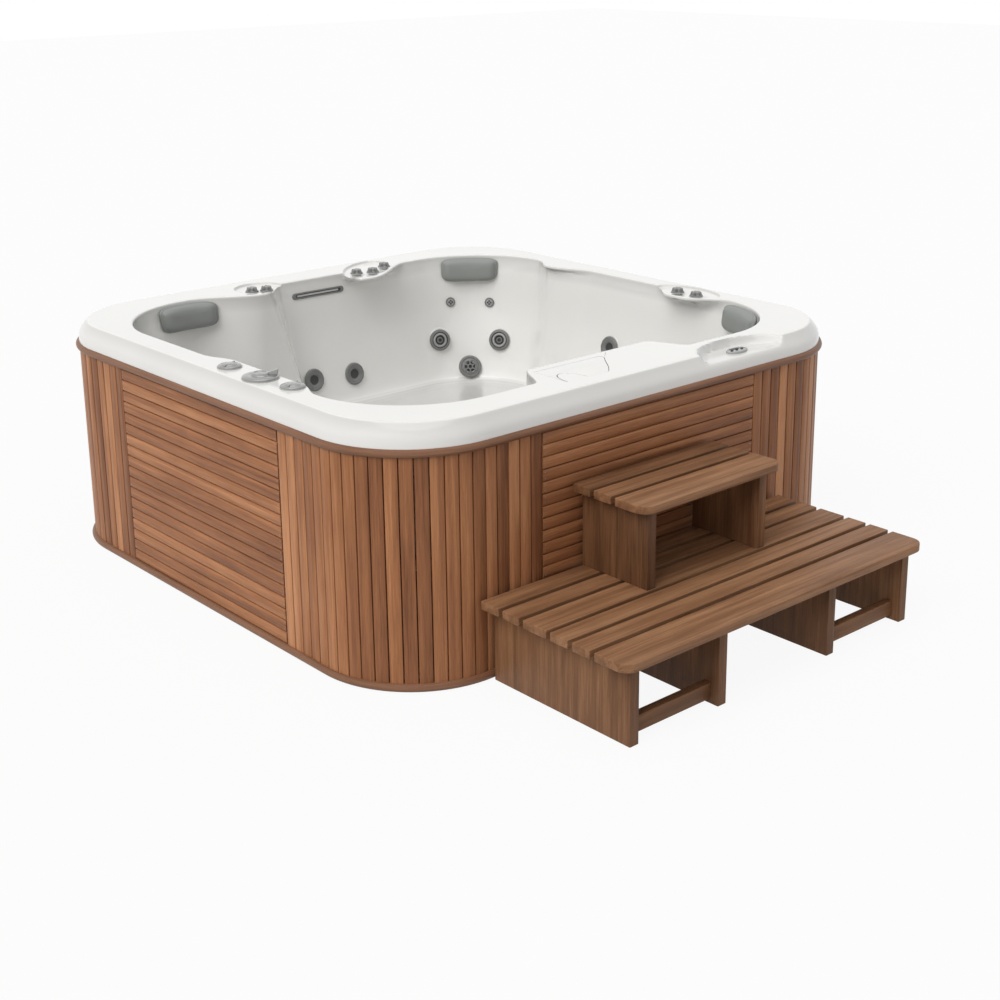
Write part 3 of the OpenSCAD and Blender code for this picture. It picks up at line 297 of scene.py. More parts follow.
heaterSteel = makeMoulded("heaterSteel", {
    "color": (0.55, 0.55, 0.56), "gloss": (0.2, 0.34), "ripple": 30.0, "speckle": 1500.0, "bump": 0.05,
    "metallic": 1.0})
filterCloth = makeMoulded("filterCloth", {
    "color": (0.78, 0.79, 0.77), "gloss": (0.8, 0.95), "ripple": 40.0, "speckle": 3000.0, "bump": 0.4})
print("materials built:", len(bpy.data.materials))


# Meshes

def meshPiece(name, verts, faces, materials, picks=None, angle=35.0, attributes=None, weld=True):
    mesh = bpy.data.meshes.new(name)
    mesh.from_pydata([tuple(v) for v in verts], [], [tuple(f) for f in faces])
    for material in materials if isinstance(materials, list) else [materials]:
        mesh.materials.append(material)
    if picks is not None:
        mesh.polygons.foreach_set("material_index", picks)
    for label, (kind, values) in (attributes or {}).items():
        made = mesh.attributes.new(label, kind, "POINT")
        field = "vector" if kind == "FLOAT_VECTOR" else "value"
        made.data.foreach_set(field, np.asarray(values, np.float32).ravel())
    piece = bpy.data.objects.new(name, mesh)
    scene.collection.objects.link(piece)
    smoothByAngle(piece, angle, weld)
    return piece


def smoothByAngle(piece, angle, weld=True):
    work = bmesh.new()
    work.from_mesh(piece.data)
    if weld:
        bmesh.ops.remove_doubles(work, verts=work.verts, dist=1e-6)
        bmesh.ops.recalc_face_normals(work, faces=work.faces)
    limit = math.radians(angle)
    for face in work.faces:
        face.smooth = True
    for edge in work.edges:
        edge.smooth = len(edge.link_faces) == 2 and edge.calc_face_angle(0) < limit
    work.to_mesh(piece.data)
    work.free()


def standFor(piece, body, slotName, *replaced):
    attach(piece, body)
    if replaced:
        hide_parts(*replaced)
    return piece


def gridFaces(rings, columns):
    faces = []
    for i in range(rings - 1):
        for k in range(columns):
            n = (k + 1) % columns
            faces.append((i * columns + k, i * columns + n, (i + 1) * columns + n, (i + 1) * columns + k))
    return faces


# A grid of rings with a flat face over both ends
def closedGrid(rings, columns):
    last = (rings - 1) * columns
    return gridFaces(rings, columns) + [tuple(range(columns))[::-1], tuple(last + k for k in range(columns))]


# Turned body from rows of radius, height and material (0 where left out) that start and end on the axis.
# Ripple shapes the radius
def turnedBody(profile, segments, ripple=None):
    verts, faces, picks, rows = [], [], [], []
    for radius, height, *_ in profile:
        if radius < 1e-9:
            rows.append([len(verts)])
            verts.append(Vector((0, 0, height)))
            continue
        rows.append(list(range(len(verts), len(verts) + segments)))
        for k in range(segments):
            a = 2 * math.pi * k / segments
            r = radius * (ripple(a, radius, height) if ripple else 1)
            verts.append(Vector((r * math.cos(a), r * math.sin(a), height)))
    for i in range(len(rows) - 1):
        low, high = rows[i], rows[i + 1]
        for k in range(segments):
            n = (k + 1) % segments
            if len(low) == 1:
                faces.append((low[0], high[n], high[k]))
            elif len(high) == 1:
                faces.append((low[k], low[n], high[0]))
            else:
                faces.append((low[k], low[n], high[n], high[k]))
            picks.append((*profile[i + 1], 0)[2])
    return verts, faces, picks


def axisFrame(origin, axis, across=(0, 0, 1)):
    z = Vector(axis).normalized()
    y = Vector(across) - z * Vector(across).dot(z)
    if y.length < 1e-6:
        y = Vector((0, 1, 0))
    y.normalize()
    x = y.cross(z)
    turn = Matrix((x, y, z)).transposed().to_4x4()
    turn.translation = Vector(origin)
    return turn


def carried(place, verts):
    return [place @ v for v in verts]


def boxBody(low, high, ease, segments=2):
    work = bmesh.new()
    bmesh.ops.create_cube(work, size=1.0)
    size = Vector(high) - Vector(low)
    for v in work.verts:
        v.co = Vector(low) + Vector([(share + 0.5) * length for share, length in zip(v.co, size)])
    if ease > 0:
        edges = list(work.edges)
        bmesh.ops.bevel(work, geom=edges, offset=ease, segments=segments, profile=0.6, affect="EDGES")
    verts = [v.co.copy() for v in work.verts]
    faces = [[v.index for v in f.verts] for f in work.faces]
    work.free()
    return verts, faces


def joined(parts):
    verts, faces = [], []
    for partVerts, partFaces in parts:
        start = len(verts)
        verts += partVerts
        faces += [[start + i for i in f] for f in partFaces]
    return verts, faces


def addBody(work, verts, faces):
    made = [work.verts.new(v) for v in verts]
    for f in faces:
        work.faces.new([made[i] for i in f])


# One mesh of boards, each (verts, faces, axis that the grain runs along). Every board has its own tone
def boardPiece(name, boards, material, seed):
    pick = random.Random(seed)
    places, tones = [], []
    order = {"x": (0, 1, 2), "z": (2, 0, 1)}
    for boardVerts, _, along in boards:
        places += [tuple(v[i] for i in order[along]) for v in boardVerts]
        tones += [pick.random()] * len(boardVerts)
    verts, faces = joined([board[:2] for board in boards])
    return meshPiece(name, verts, faces, material, attributes={
        "grainPlace": ("FLOAT_VECTOR", places), "boardTone": ("FLOAT", tones)}, weld=False)


def applyStep(piece, step):
    bpy.context.view_layer.update()
    graph = bpy.context.evaluated_depsgraph_get()
    made = bpy.data.meshes.new_from_object(piece.evaluated_get(graph))
    piece.modifiers.remove(step)
    piece.data = made


def cutWith(piece, cutter):
    step = piece.modifiers.new("cut", "BOOLEAN")
    step.operation = "DIFFERENCE"
    step.solver = "EXACT"
    step.object = cutter
    applyStep(piece, step)
    bpy.data.objects.remove(cutter)


# Geometry Nodes: rows and rings of like pieces

def runTree(piece, tree, values):
    step = piece.modifiers.new(tree.name, "NODES")
    step.node_group = tree
    for item in tree.interface.items_tree:
        if item.item_type == "SOCKET" and item.in_out == "INPUT" and item.name in values:
            step[item.identifier] = values[item.name]
    applyStep(piece, step)
    return piece


# Instances on the points, each with its own place along the grain and its own tone
def closeTree(tree, ins, outs, points, rotation):
    place = addNode(tree, "GeometryNodeInputPosition").outputs[0]
    kept = addNode(tree, "GeometryNodeStoreNamedAttribute", {
        "Geometry": ins["Geometry"], "Name": "grainPlace", "Value": place},
        data_type="FLOAT_VECTOR", domain="POINT")
    inputs = {"Points": points, "Instance": kept.outputs[0]}
    if rotation is not None:
        inputs["Rotation"] = rotation
    placed = addNode(tree, "GeometryNodeInstanceOnPoints", inputs)
    tone = addNode(tree, "FunctionNodeRandomValue", {"Seed": ins["Seed"]}, data_type="FLOAT")
    toned = addNode(tree, "GeometryNodeStoreNamedAttribute", {
        "Geometry": placed.outputs[0], "Name": "boardTone", "Value": tone.outputs[1]},
        data_type="FLOAT", domain="INSTANCE")
    real = addNode(tree, "GeometryNodeRealizeInstances", {"Geometry": toned.outputs[0]})
    done = addNode(tree, "GeometryNodeSetMaterial", {
        "Geometry": real.outputs[0], "Material": ins["Material"]})
    tree.links.new(done.outputs[0], outs["Geometry"])


treeOutputs = [("Geometry", "Geometry")]
toneInputs = [("Seed", "Int", 1), ("Material", "Material", None)]
rowInputs = [("Geometry", "Geometry", None), ("Count", "Int", 4),
             ("Start", "Vector", (0, 0, 0)), ("Step", "Vector", (0, 0, 0.1)), *toneInputs]
cornerInputs = [("Geometry", "Geometry", None), ("Each", "Int", 22),
                ("Half", "Float", 1.1), ("Radius", "Float", 0.3), ("Run", "Float", 0.2),
                ("Pitch", "Float", 0.05), *toneInputs]


def makeRowTree():
    tree, ins, outs = newTree("boardRow", "GeometryNodeTree", rowInputs, treeOutputs)
    line = addNode(tree, "GeometryNodeMeshLine", {
        "Count": ins["Count"], "Start Location": ins["Start"], "Offset": ins["Step"]}, mode="OFFSET")
    closeTree(tree, ins, outs, line.outputs[0], None)
    return tree


# Staves stand at even steps along the skirt's outline, from panel to panel round each corner
def makeCornerTree():
    tree, ins, outs = newTree("cornerStaves", "GeometryNodeTree", cornerInputs, treeOutputs)
    side = mathNode(tree, "MULTIPLY", ins["Half"], 2.0)
    square = addNode(tree, "GeometryNodeCurvePrimitiveQuadrilateral", {"Width": side, "Height": side})
    outline = addNode(tree, "GeometryNodeFilletCurve", {
        "Curve": square.outputs[0], "Radius": ins["Radius"], "Count": 64}, mode="POLY")
    total = mathNode(tree, "MULTIPLY", ins["Each"], 4.0)
    line = addNode(tree, "GeometryNodeMeshLine", {"Count": total, "Offset": (0, 0, 0)}, mode="OFFSET")
    index = addNode(tree, "GeometryNodeInputIndex").outputs[0]
    corner = mathNode(tree, "FLOOR", mathNode(tree, "DIVIDE", index, ins["Each"]))
    step = mathNode(tree, "SUBTRACT", index, mathNode(tree, "MULTIPLY", corner, ins["Each"]))
    whole = addNode(tree, "GeometryNodeCurveLength", {"Curve": outline.outputs[0]}).outputs[0]
    quarter = mathNode(tree, "MULTIPLY", whole, 0.25)
    along = mathNode(tree, "MULTIPLY", mathNode(tree, "ADD", step, 0.5), ins["Pitch"])
    along = mathNode(tree, "SUBTRACT", along, ins["Run"])
    along = mathNode(tree, "ADD", along, mathNode(tree, "MULTIPLY", corner, quarter))
    along = mathNode(tree, "FLOORED_MODULO", along, whole)
    spot = addNode(tree, "GeometryNodeSampleCurve", {
        "Curves": outline.outputs[0], "Length": along}, mode="LENGTH", use_all_curves=True)
    moved = addNode(tree, "GeometryNodeSetPosition", {
        "Geometry": line.outputs[0], "Position": spot.outputs["Position"]})
    turn = addNode(tree, "FunctionNodeAlignRotationToVector", {
        "Vector": spot.outputs["Tangent"]}, axis="Y", pivot_axis="Z")
    closeTree(tree, ins, outs, moved.outputs[0], turn.outputs[0])
    return tree


rowTree = makeRowTree()
cornerTree = makeCornerTree()


# Skirt

skirt = {
    "boards": 18, "panelWidth": 1.006, "seam": 0.003, "thickness": 0.018, "bevel": 0.0032, "groove": 0.0032,
    "grooveDepth": 0.007, "stavePitch": 0.047, "sunk": 0.0004, "smooth": 30,
    "battenThickness": 0.02, "battenHalf": 0.035, "battenEnd": 0.09, "battenEase": 0.0015,
}
nails = {"rows": 36, "fromEdge": 0.009, "radius": 0.0019, "segments": 10}
moulding = {"inward": 0.022, "steps": 14}


def prismBody(outline, low, high):
    n = len(outline)
    verts = [Vector((x, y, z)) for z in (low, high) for x, y in outline]
    faces = [[k, (k + 1) % n, n + (k + 1) % n, n + k] for k in range(n)]
    return verts, faces + [list(range(n))[::-1], [n + k for k in range(n)]]


# Staves fill the skirt's outline from panel to panel round each corner
def buildStaves():
    run = skirtHalf - cornerRadius - skirt["panelWidth"] / 2 - skirt["seam"]
    path = 2 * run + math.pi / 2 * cornerRadius
    each = round(path / skirt["stavePitch"])
    pitch = path / each
    half = (pitch - skirt["groove"]) / 2
    b, t = skirt["bevel"], skirt["thickness"]
    inner = half * (cornerRadius - t) / cornerRadius
    face = [(-t, -inner), (-b, -half), (-b * 0.3, b * 0.3 - half), (0, b - half),
            (0, half - b), (-b * 0.3, half - b * 0.3), (-b, half), (-t, inner)]
    verts, faces = prismBody(face, 0, boardHigh - boardLow)
    piece = meshPiece("skirtStaves", verts, faces, staveWood)
    runTree(piece, cornerTree, {
        "Each": each, "Half": skirtHalf - skirt["sunk"], "Radius": cornerRadius - skirt["sunk"], "Run": run,
        "Pitch": pitch, "Seed": 7, "Material": staveWood})
    swapGrain(piece, (2, 1, 0))
    piece.data.transform(Matrix.Translation((0, 0, boardLow)))
    smoothByAngle(piece, skirt["smooth"], weld=False)
    return standFor(piece, "tub", "skirt_wood", "corner_staves")


# The row trees keep each board's own place; this puts the board's long axis first
def swapGrain(piece, order):
    data = piece.data.attributes["grainPlace"].data
    values = np.zeros(len(data) * 3, np.float32)
    data.foreach_get("vector", values)
    values = values.reshape(-1, 3)[:, list(order)]
    data.foreach_set("vector", np.ascontiguousarray(values).ravel())


# A panel faces +X here and is turned to its side afterwards
def buildPanel(name, node, body, quarter, seed):
    low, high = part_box(node)
    width, t, b = skirt["panelWidth"], skirt["thickness"], skirt["bevel"]
    pitch = (high.z - low.z) / skirt["boards"]
    g = skirt["groove"] / 2
    deep = skirt["grooveDepth"]
    face = [(-t, 0), (-deep, 0), (-deep, g), (-b, g), (-b * 0.3, g + b * 0.4), (0, g + b), (0, pitch - g - b),
            (-b * 0.3, pitch - g - b * 0.4), (-b, pitch - g), (-deep, pitch - g), (-deep, pitch), (-t, pitch)]
    verts, faces = prismBody(face, -width / 2, width / 2)
    verts = [Vector((v.x, v.z, v.y)) for v in verts]
    faces = [f[::-1] for f in faces]
    piece = meshPiece(name, verts, faces, panelWood)
    runTree(piece, rowTree, {
        "Count": skirt["boards"], "Start": (0, 0, low.z), "Step": (0, 0, pitch), "Seed": seed,
        "Material": panelWood})
    swapGrain(piece, (1, 2, 0))
    work = bmesh.new()
    work.from_mesh(piece.data)
    half, end = skirt["battenHalf"], skirt["battenEnd"]
    for side in (-1, 1):
        middle = side * width / 4
        addBody(work, *boxBody((-t - skirt["battenThickness"], middle - half, low.z + end),
                               (-t, middle + half, high.z - end), skirt["battenEase"]))
    work.to_mesh(piece.data)
    work.free()
    turn = Matrix.Rotation(quarter * math.pi / 2, 4, "Z")
    piece.data.transform(turn @ Matrix.Translation((skirtHalf, 0, 0)))
    smoothByAngle(piece, skirt["smooth"], weld=False)
    return standFor(piece, body, "skirt_wood", node)


# Small nails in a column along both upright edges of every panel. They stand for the screws of the frame
def buildNails(name, body, quarters, node, seed):
    radius = nails["radius"]
    profile = [(0, -0.0006), (radius, -0.0006), (radius, 0.0001), (radius * 0.7, 0.0005),
               (radius * 0.25, 0.0006), (0, 0.0002)]
    verts, faces, _ = turnedBody(profile, nails["segments"])
    turn = Matrix.Rotation(math.pi / 2, 4, "Y")
    low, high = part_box("right_panel")
    step = (high.z - low.z) / nails["rows"]
    edge = skirt["panelWidth"] / 2 - nails["fromEdge"]
    parts = []
    for index, quarter in enumerate(quarters):
        for side in (-1, 1):
            piece = meshPiece("nailRow", carried(turn, verts), faces, screwSteel)
            runTree(piece, rowTree, {
                "Count": nails["rows"], "Start": (skirtHalf, side * edge, low.z + step / 2),
                "Step": (0, 0, step), "Seed": seed + index, "Material": screwSteel})
            piece.data.transform(Matrix.Rotation(quarter * math.pi / 2, 4, "Z"))
            parts.append(piece)
    target = parts[0]
    work = bmesh.new()
    for piece in parts:
        work.from_mesh(piece.data)
    work.to_mesh(target.data)
    work.free()
    for piece in parts[1:]:
        bpy.data.objects.remove(piece)
    target.name = name
    smoothByAngle(target, skirt["smooth"], weld=False)
    return standFor(target, body, "screw_steel", node)


# Closed path of the skirt at a given reach from the middle, with its outward directions
def skirtPath(half, radius, straight=14, arc=26):
    points, outward = [], []
    for q in range(4):
        turn = Matrix.Rotation(q * math.pi / 2, 3, "Z")
        c = half - radius
        for k in range(straight):
            points.append(turn @ Vector((half, -c + 2 * c * k / straight, 0)))
            outward.append(turn @ Vector((1, 0, 0)))
        for k in range(arc):
            a = math.pi / 2 * k / arc
            points.append(turn @ Vector((c + radius * math.cos(a), c + radius * math.sin(a), 0)))
            outward.append(turn @ Vector((math.cos(a), math.sin(a), 0)))
    return points, outward


def buildMoulding(name, node):
    low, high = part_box(node)
    height = high.z - low.z
    proud = high.x - skirtHalf
    points, outward = skirtPath(skirtHalf, cornerRadius)
    profile = [(-moulding["inward"], 0), (0, 0)]
    for k in range(1, moulding["steps"]):
        a = math.pi * k / moulding["steps"]
        profile.append((proud * math.sin(a), height / 2 - height / 2 * math.cos(a)))
    profile += [(0, height), (-moulding["inward"], height)]
    verts, places = [], []
    distance = 0
    for i, (p, n) in enumerate(zip(points, outward)):
        if i:
            distance += (p - points[i - 1]).length
        for out, up in profile:
            v = p + n * out
            verts.append(Vector((v.x, v.y, low.z + up)))
            places.append((distance, up, out))
    faces = []
    m = len(profile)
    for i in range(len(points)):
        following = (i + 1) % len(points)
        for k in range(m):
            n = (k + 1) % m
            faces.append((i * m + k, following * m + k, following * m + n, i * m + n))
    piece = meshPiece(name, verts, faces, trimWood, attributes={
        "grainPlace": ("FLOAT_VECTOR", places), "boardTone": ("FLOAT", [0.5] * len(verts))})
    return standFor(piece, "tub", "skirt_wood", node)


buildStaves()
for label, node, body, quarter, seed in (
        ("rightPanelBoards", "right_panel", "tub", 0, 11),
        ("backPanelBoards", "back_panel", "tub", 1, 12),
        ("leftPanelBoards", "service_panel", "service_panel", 2, 13),
        ("frontPanelBoards", "front_panel", "tub", 3, 14)):
    buildPanel(label, node, body, quarter, seed)
buildNails("panelNails", "tub", (0, 1, 3), "panel_screws", 21)
buildNails("leftPanelNails", "service_panel", (2,), "service_screws", 22)
buildMoulding("lowerMoulding", "base_trim")
buildMoulding("upperMoulding", "top_trim")
print("skirt built")


# Moulded shell. Heights and insets follow the CAD levels, with rings between them

shell = {
    "thickness": 0.007, "lipRound": 0.008, "smooth": 50,
    "deckLeft": 0.126, "deckRight": 0.13, "deckBack": 0.187, "deckFront": 0.17,
    "basinRadius": 0.38, "seatHeight": 0.3, "seatRun": 0.445, "footwellHeight": 0.108,
    "straightSteps": 54, "arcSteps": 28, "wallSteps": 60, "leastRun": 0.05,
    "throatLow": (-0.296, -0.842, 0.708), "throatHigh": (-0.146, -0.76, 0.792),
}
recess = {"drop": 0.03, "middle": 0.481, "half": 0.219, "depth": 0.131, "blend": 0.007,
          "power": 2.2, "edge": 1.03, "steep": 0.09, "easier": 0.2}
third = 1 / 3
basinX = skirtHalf - (shell["deckLeft"] + shell["deckRight"]) / 2
basinY = skirtHalf - (shell["deckFront"] + shell["deckBack"]) / 2
basinMid = ((shell["deckLeft"] - shell["deckRight"]) / 2, (shell["deckFront"] - shell["deckBack"]) / 2)
# Swellings of the deck edge, measured along their side. A divider runs on down the wall with this share of
# the reach. Lean and narrow change its start and run with the depth. Slant moves a pad along the side
deckPads = [
    {"side": 0, "start": 0.19, "end": 0.535, "runIn": 0.21, "runOut": 0.12, "reach": 0.06, "divider": 0.6},
    {"side": 0, "start": -0.575, "end": -0.185, "runIn": 0.17, "runOut": 0.15, "reach": 0.098},
    {"side": 1, "start": 0.13, "end": 0.575, "runIn": 0.16, "runOut": 0.29, "reach": 0.118, "divider": 1,
     "lean": 0.106, "narrow": 0.28},
    {"side": 1, "start": -0.52, "end": -0.172, "runIn": 0.23, "runOut": 0.045, "reach": 0.162, "slant": 0.35},
    {"side": 2, "start": -0.13, "end": 0.555, "runIn": 0.15, "runOut": 0.13, "reach": 0.04, "divider": 1},
    {"side": 3, "start": -0.386, "end": 0.345, "runIn": 0.1, "runOut": 0.08, "reach": 0.14, "divider": 1},
]
# Oval dishes that the knobs stand in
dishes = [
    {"middle": (-0.238, 0.912), "half": (0.108, 0.098), "turn": 0},
    {"middle": (0.305, 0.915), "half": (0.178, 0.092), "turn": 40},
    {"middle": (0.972, -0.35), "half": (0.16, 0.082), "turn": 90},
]
dishLook = {"depth": 0.01, "wall": 0.006, "fillet": 0.003, "boss": 0.019, "columns": 96,
            "sagTo": 1.4, "sagRun": 0.25}
lip = shell["lipRound"]
seat, run, foot, corner = shell["seatHeight"], shell["seatRun"], shell["footwellHeight"], shell["basinRadius"]
# Down the wall: inset, height, corner radius, share of the deck pads' reach, share of the dividers' reach
wallLevels = [
    (0, rimTop - lip, corner, 1, 1), (0.007, rimTop - 0.046, corner - 0.006, 0, 0.95),
    (0.025, seat + 0.34, corner - 0.012, 0, 0.8), (0.055, seat + 0.18, corner - 0.028, 0, 0.5),
    (0.078, seat + 0.08, corner - 0.046, 0, 0.3), (0.099, seat + 0.03, corner - 0.064, 0, 0.15),
    (0.165, seat + 0.006, corner - 0.1, 0, 0), (run - 0.02, seat, corner - 0.16, 0, 0),
    (run, seat - 0.012, corner - 0.175, 0, 0), (run + 0.014, seat - 0.05, corner - 0.185, 0, 0),
    (run + 0.05, foot + 0.04, corner - 0.205, 0, 0), (run + 0.075, foot + 0.008, corner - 0.22, 0, 0),
    (run + 0.12, foot, corner - 0.25, 0, 0),
]
# Levels that a bend starts at, which needs more rings
denseLevels = (0, 5, 7, 8, 10)


def columnPlaces():
    straight, arc = shell["straightSteps"], shell["arcSteps"]
    quarter = [third * k / straight for k in range(straight)]
    quarter += [third + (1 - 2 * third) * k / arc for k in range(arc)]
    quarter += [1 - third + third * k / straight for k in range(straight)]
    return np.array([q + u for q in range(4) for u in quarter])


def smoothStep(x):
    x = np.clip(x, 0, 1)
    return x * x * (3 - 2 * x)


# Rounded rectangle at the places t, one unit for each quarter, counted from the middle of the +X side
def outline(halfX, halfY, mid, radius, t):
    q = np.floor(t).astype(int) % 4
    u = t - np.floor(t)
    a = np.where(q % 2 == 0, halfX, halfY)
    b = np.where(q % 2 == 0, halfY, halfX)
    w = np.radians(90 * (u - third) / (1 - 2 * third))
    first, last = u < third, u > 1 - third
    x = np.where(last, (a - radius) * (1 - u) / third, a - radius + radius * np.cos(w))
    y = np.where(last, b, b - radius + radius * np.sin(w))
    x, y = np.where(first, a, x), np.where(first, (b - radius) * u / third, y)
    for k in range(1, 4):
        turn = q >= k
        x, y = np.where(turn, -y, x), np.where(turn, x, y)
    return x + mid[0], y + mid[1]


# Side that a place belongs to, or -1 on a corner
def sideOf(t):
    q = np.floor(t).astype(int) % 4
    u = t - np.floor(t)
    return np.where(u <= third + 1e-6, q, np.where(u >= 1 - third - 1e-6, (q + 1) % 4, -1))


sideOut = np.array([(1, 0), (0, 1), (-1, 0), (0, -1)], float)
sideAlong = np.array([(0, 1), (-1, 0), (0, -1), (1, 0)], float)


# Moves the outline inward by the pads of its side. Shares are those of a wall level
def padReach(x, y, t, z, deckShare, dividerShare):
    side = sideOf(t)
    depth = max(0, rimTop - z)
    shift = np.zeros((len(x), 2))
    for pad in deckPads:
        s = pad["side"]
        along = x * sideAlong[s][0] + y * sideAlong[s][1]
        start = pad["start"] - pad.get("lean", 0) * depth
        runIn = max(shell["leastRun"], pad["runIn"] - pad.get("narrow", 0) * depth)
        swell = smoothStep((along - start) / runIn)
        swell = np.minimum(swell, smoothStep((pad["end"] - along) / pad["runOut"]))
        share = deckShare
        if "divider" in pad and deckShare != 1:
            share = dividerShare * pad["divider"]
        inward = sideAlong[s] * pad.get("slant", 0) - sideOut[s]
        reach = pad["reach"] * swell * share
        shift += np.where((side == s)[:, None], reach[:, None] * inward, 0)
    return x + shift[:, 0], y + shift[:, 1]


# How far a place lies from the middle of a dish, 1 at its edge
def dishWay(dish, x, y):
    a = math.radians(dish["turn"])
    dx, dy = x - dish["middle"][0], y - dish["middle"][1]
    along = dx * math.cos(a) + dy * math.sin(a)
    across = dy * math.cos(a) - dx * math.sin(a)
    return np.hypot(along / dish["half"][0], across / dish["half"][1])


# Rim from the skirt up to the flat deck: how far in and how far below the top. The recess cuts into it
rimRows = [
    (0, 0.06), (0.0006, 0.053), (0.002, 0.046), (0.0045, 0.039), (0.008, 0.0325), (0.012, 0.0264),
    (0.0165, 0.0204), (0.021, 0.015), (0.0255, 0.0101), (0.0292, 0.0063), (0.0318, 0.0038), (0.034, 0.002),
    (0.036, 0.0009), (0.0385, 0.0002), (0.042, 0)]
rimUnderRows = [
    (0.048, 0.0075), (0.038, 0.0158), (0.026, 0.0262), (0.0165, 0.038), (0.0098, 0.052), (0.0072, 0.068)]


# The underside hangs lower below the dishes
def dishSag(x, y):
    sag = np.zeros_like(x)
    for dish in dishes:
        sag += dishLook["depth"] * smoothStep((dishLook["sagTo"] - dishWay(dish, x, y)) / dishLook["sagRun"])
    return sag


def ellipseRow(halfX, halfY, z, n):
    angles = [2 * math.pi * k / n for k in range(n)]
    return [Vector((halfX * math.cos(a), halfY * math.sin(a), z)) for a in angles]


def dishCutter():
    parts = []
    d, wall, fillet = dishLook["depth"], dishLook["wall"], dishLook["fillet"]
    rows = [(0.004, 0.02), (0.004, 0.0006), (0.0015, -0.0002), (0, -0.0012), (-wall * 0.7, -d + fillet),
            (-wall - fillet * 0.4, -d + fillet * 0.3), (-wall - fillet * 1.4, -d), (-wall - 0.03, -d)]
    for dish in dishes:
        halfX, halfY = dish["half"]
        turn = Matrix.Rotation(math.radians(dish["turn"]), 4, "Z")
        turn = Matrix.Translation((*dish["middle"], rimTop)) @ turn
        verts = []
        for out, up in rows:
            verts += carried(turn, ellipseRow(halfX + out, halfY + out, up, dishLook["columns"]))
        parts.append((verts, closedGrid(len(rows), dishLook["columns"])))
    return meshPiece("dishCutter", *joined(parts), whiteAcrylic)


# The keypad's recess is open to the front face, steep at its left end and easy at the right
def recessDrop(x, y):
    deep = np.clip((y + skirtHalf) / recess["depth"], 0, 2)
    across = (x - recess["middle"]) / recess["half"]
    rho = (np.abs(across) ** recess["power"] + deep ** recess["power"]) ** (1 / recess["power"])
    slope = recess["steep"] + recess["easier"] * smoothStep(across)
    return recess["drop"] * smoothStep((recess["edge"] - rho) / slope)


def ringAt(x, y, z):
    return np.stack([x, y, np.zeros_like(x) + z], 1)


def basinRing(level, t):
    inset, z, radius, deckShare, dividerShare = level
    x, y = outline(basinX - inset, basinY - inset, basinMid, radius, t)
    return ringAt(*padReach(x, y, t, z, deckShare, dividerShare), z)


def floorRing(t, share):
    ring = basinRing(wallLevels[-1], t)
    middle = np.array(basinMid)
    ring[:, :2] = middle + (ring[:, :2] - middle) * share
    return ring


def rimOutline(back, t):
    return outline(shellHalf - back, shellHalf - back, (0, 0), cornerRadius + ringLook["rimGrow"] - back, t)


def basinOutline(grow, t):
    return outline(basinX + grow, basinY + grow, basinMid, corner + grow, t)


def deckHeight(x, y):
    return rimTop - recessDrop(x, y)


def underHeight(x, y):
    return rimTop - shell["thickness"] - recessDrop(x, y) - dishSag(x, y)


def evenShares(count):
    return [k / count for k in range(1, count + 1)]


# Rows of each stretch of the shell, and how far the outlines between them lie outside the basin
ringLook = {
    "deck": 14, "edge": (0.33, 0.67, 1), "lip": 12, "round": 6, "floor": (0.75, 0.5, 0.25), "deckEnd": 0.028,
    "lipStart": 0.016, "underFloor": (0.3, 0.75), "underLip": 6, "underDeck": 12, "underStart": 0.02,
    "underLipOut": 0.004, "underLipDown": 0.002, "underDivider": 0.97, "rimGrow": 0.001}


# Rings between two outlines, up to the last one
def blendRings(first, last, shares, height):
    rings = []
    for s in shares:
        x, y = [a * (1 - s) + b * s for a, b in zip(first, last)]
        rings.append(ringAt(x, y, height(x, y)))
    return rings


# Monotone curve through the wall levels, as a function of the way down the wall
def fineLevels(count):
    table = np.array(wallLevels)
    steps = np.hypot(np.diff(table[:, 0]), np.diff(table[:, 1]))
    length = steps.cumsum()[-1]
    slope = np.diff(table, axis=0) / steps[:, None]
    tangent = np.zeros_like(table)
    tangent[0], tangent[-1] = slope[0], slope[-1]
    for i in range(1, len(table) - 1):
        before, after = slope[i - 1], slope[i]
        w1, w2 = 2 * steps[i] + steps[i - 1], steps[i] + 2 * steps[i - 1]
        same = before * after > 0
        safe = np.where(same, before, 1), np.where(same, after, 1)
        tangent[i] = np.where(same, (w1 + w2) / (w1 / safe[0] + w2 / safe[1]), 0)
    found = []
    for i in range(len(table) - 1):
        least = 4 if i in denseLevels else 2
        parts = max(least, int(round(count * steps[i] / length)))
        for k in range(parts):
            s = k / parts
            h = [(1 + 2 * s) * (1 - s) ** 2, s * (1 - s) ** 2, s * s * (3 - 2 * s), s * s * (s - 1)]
            start = h[0] * table[i] + h[1] * steps[i] * tangent[i]
            found.append(start + h[2] * table[i + 1] + h[3] * steps[i] * tangent[i + 1])
    return np.array(found + [table[-1]])


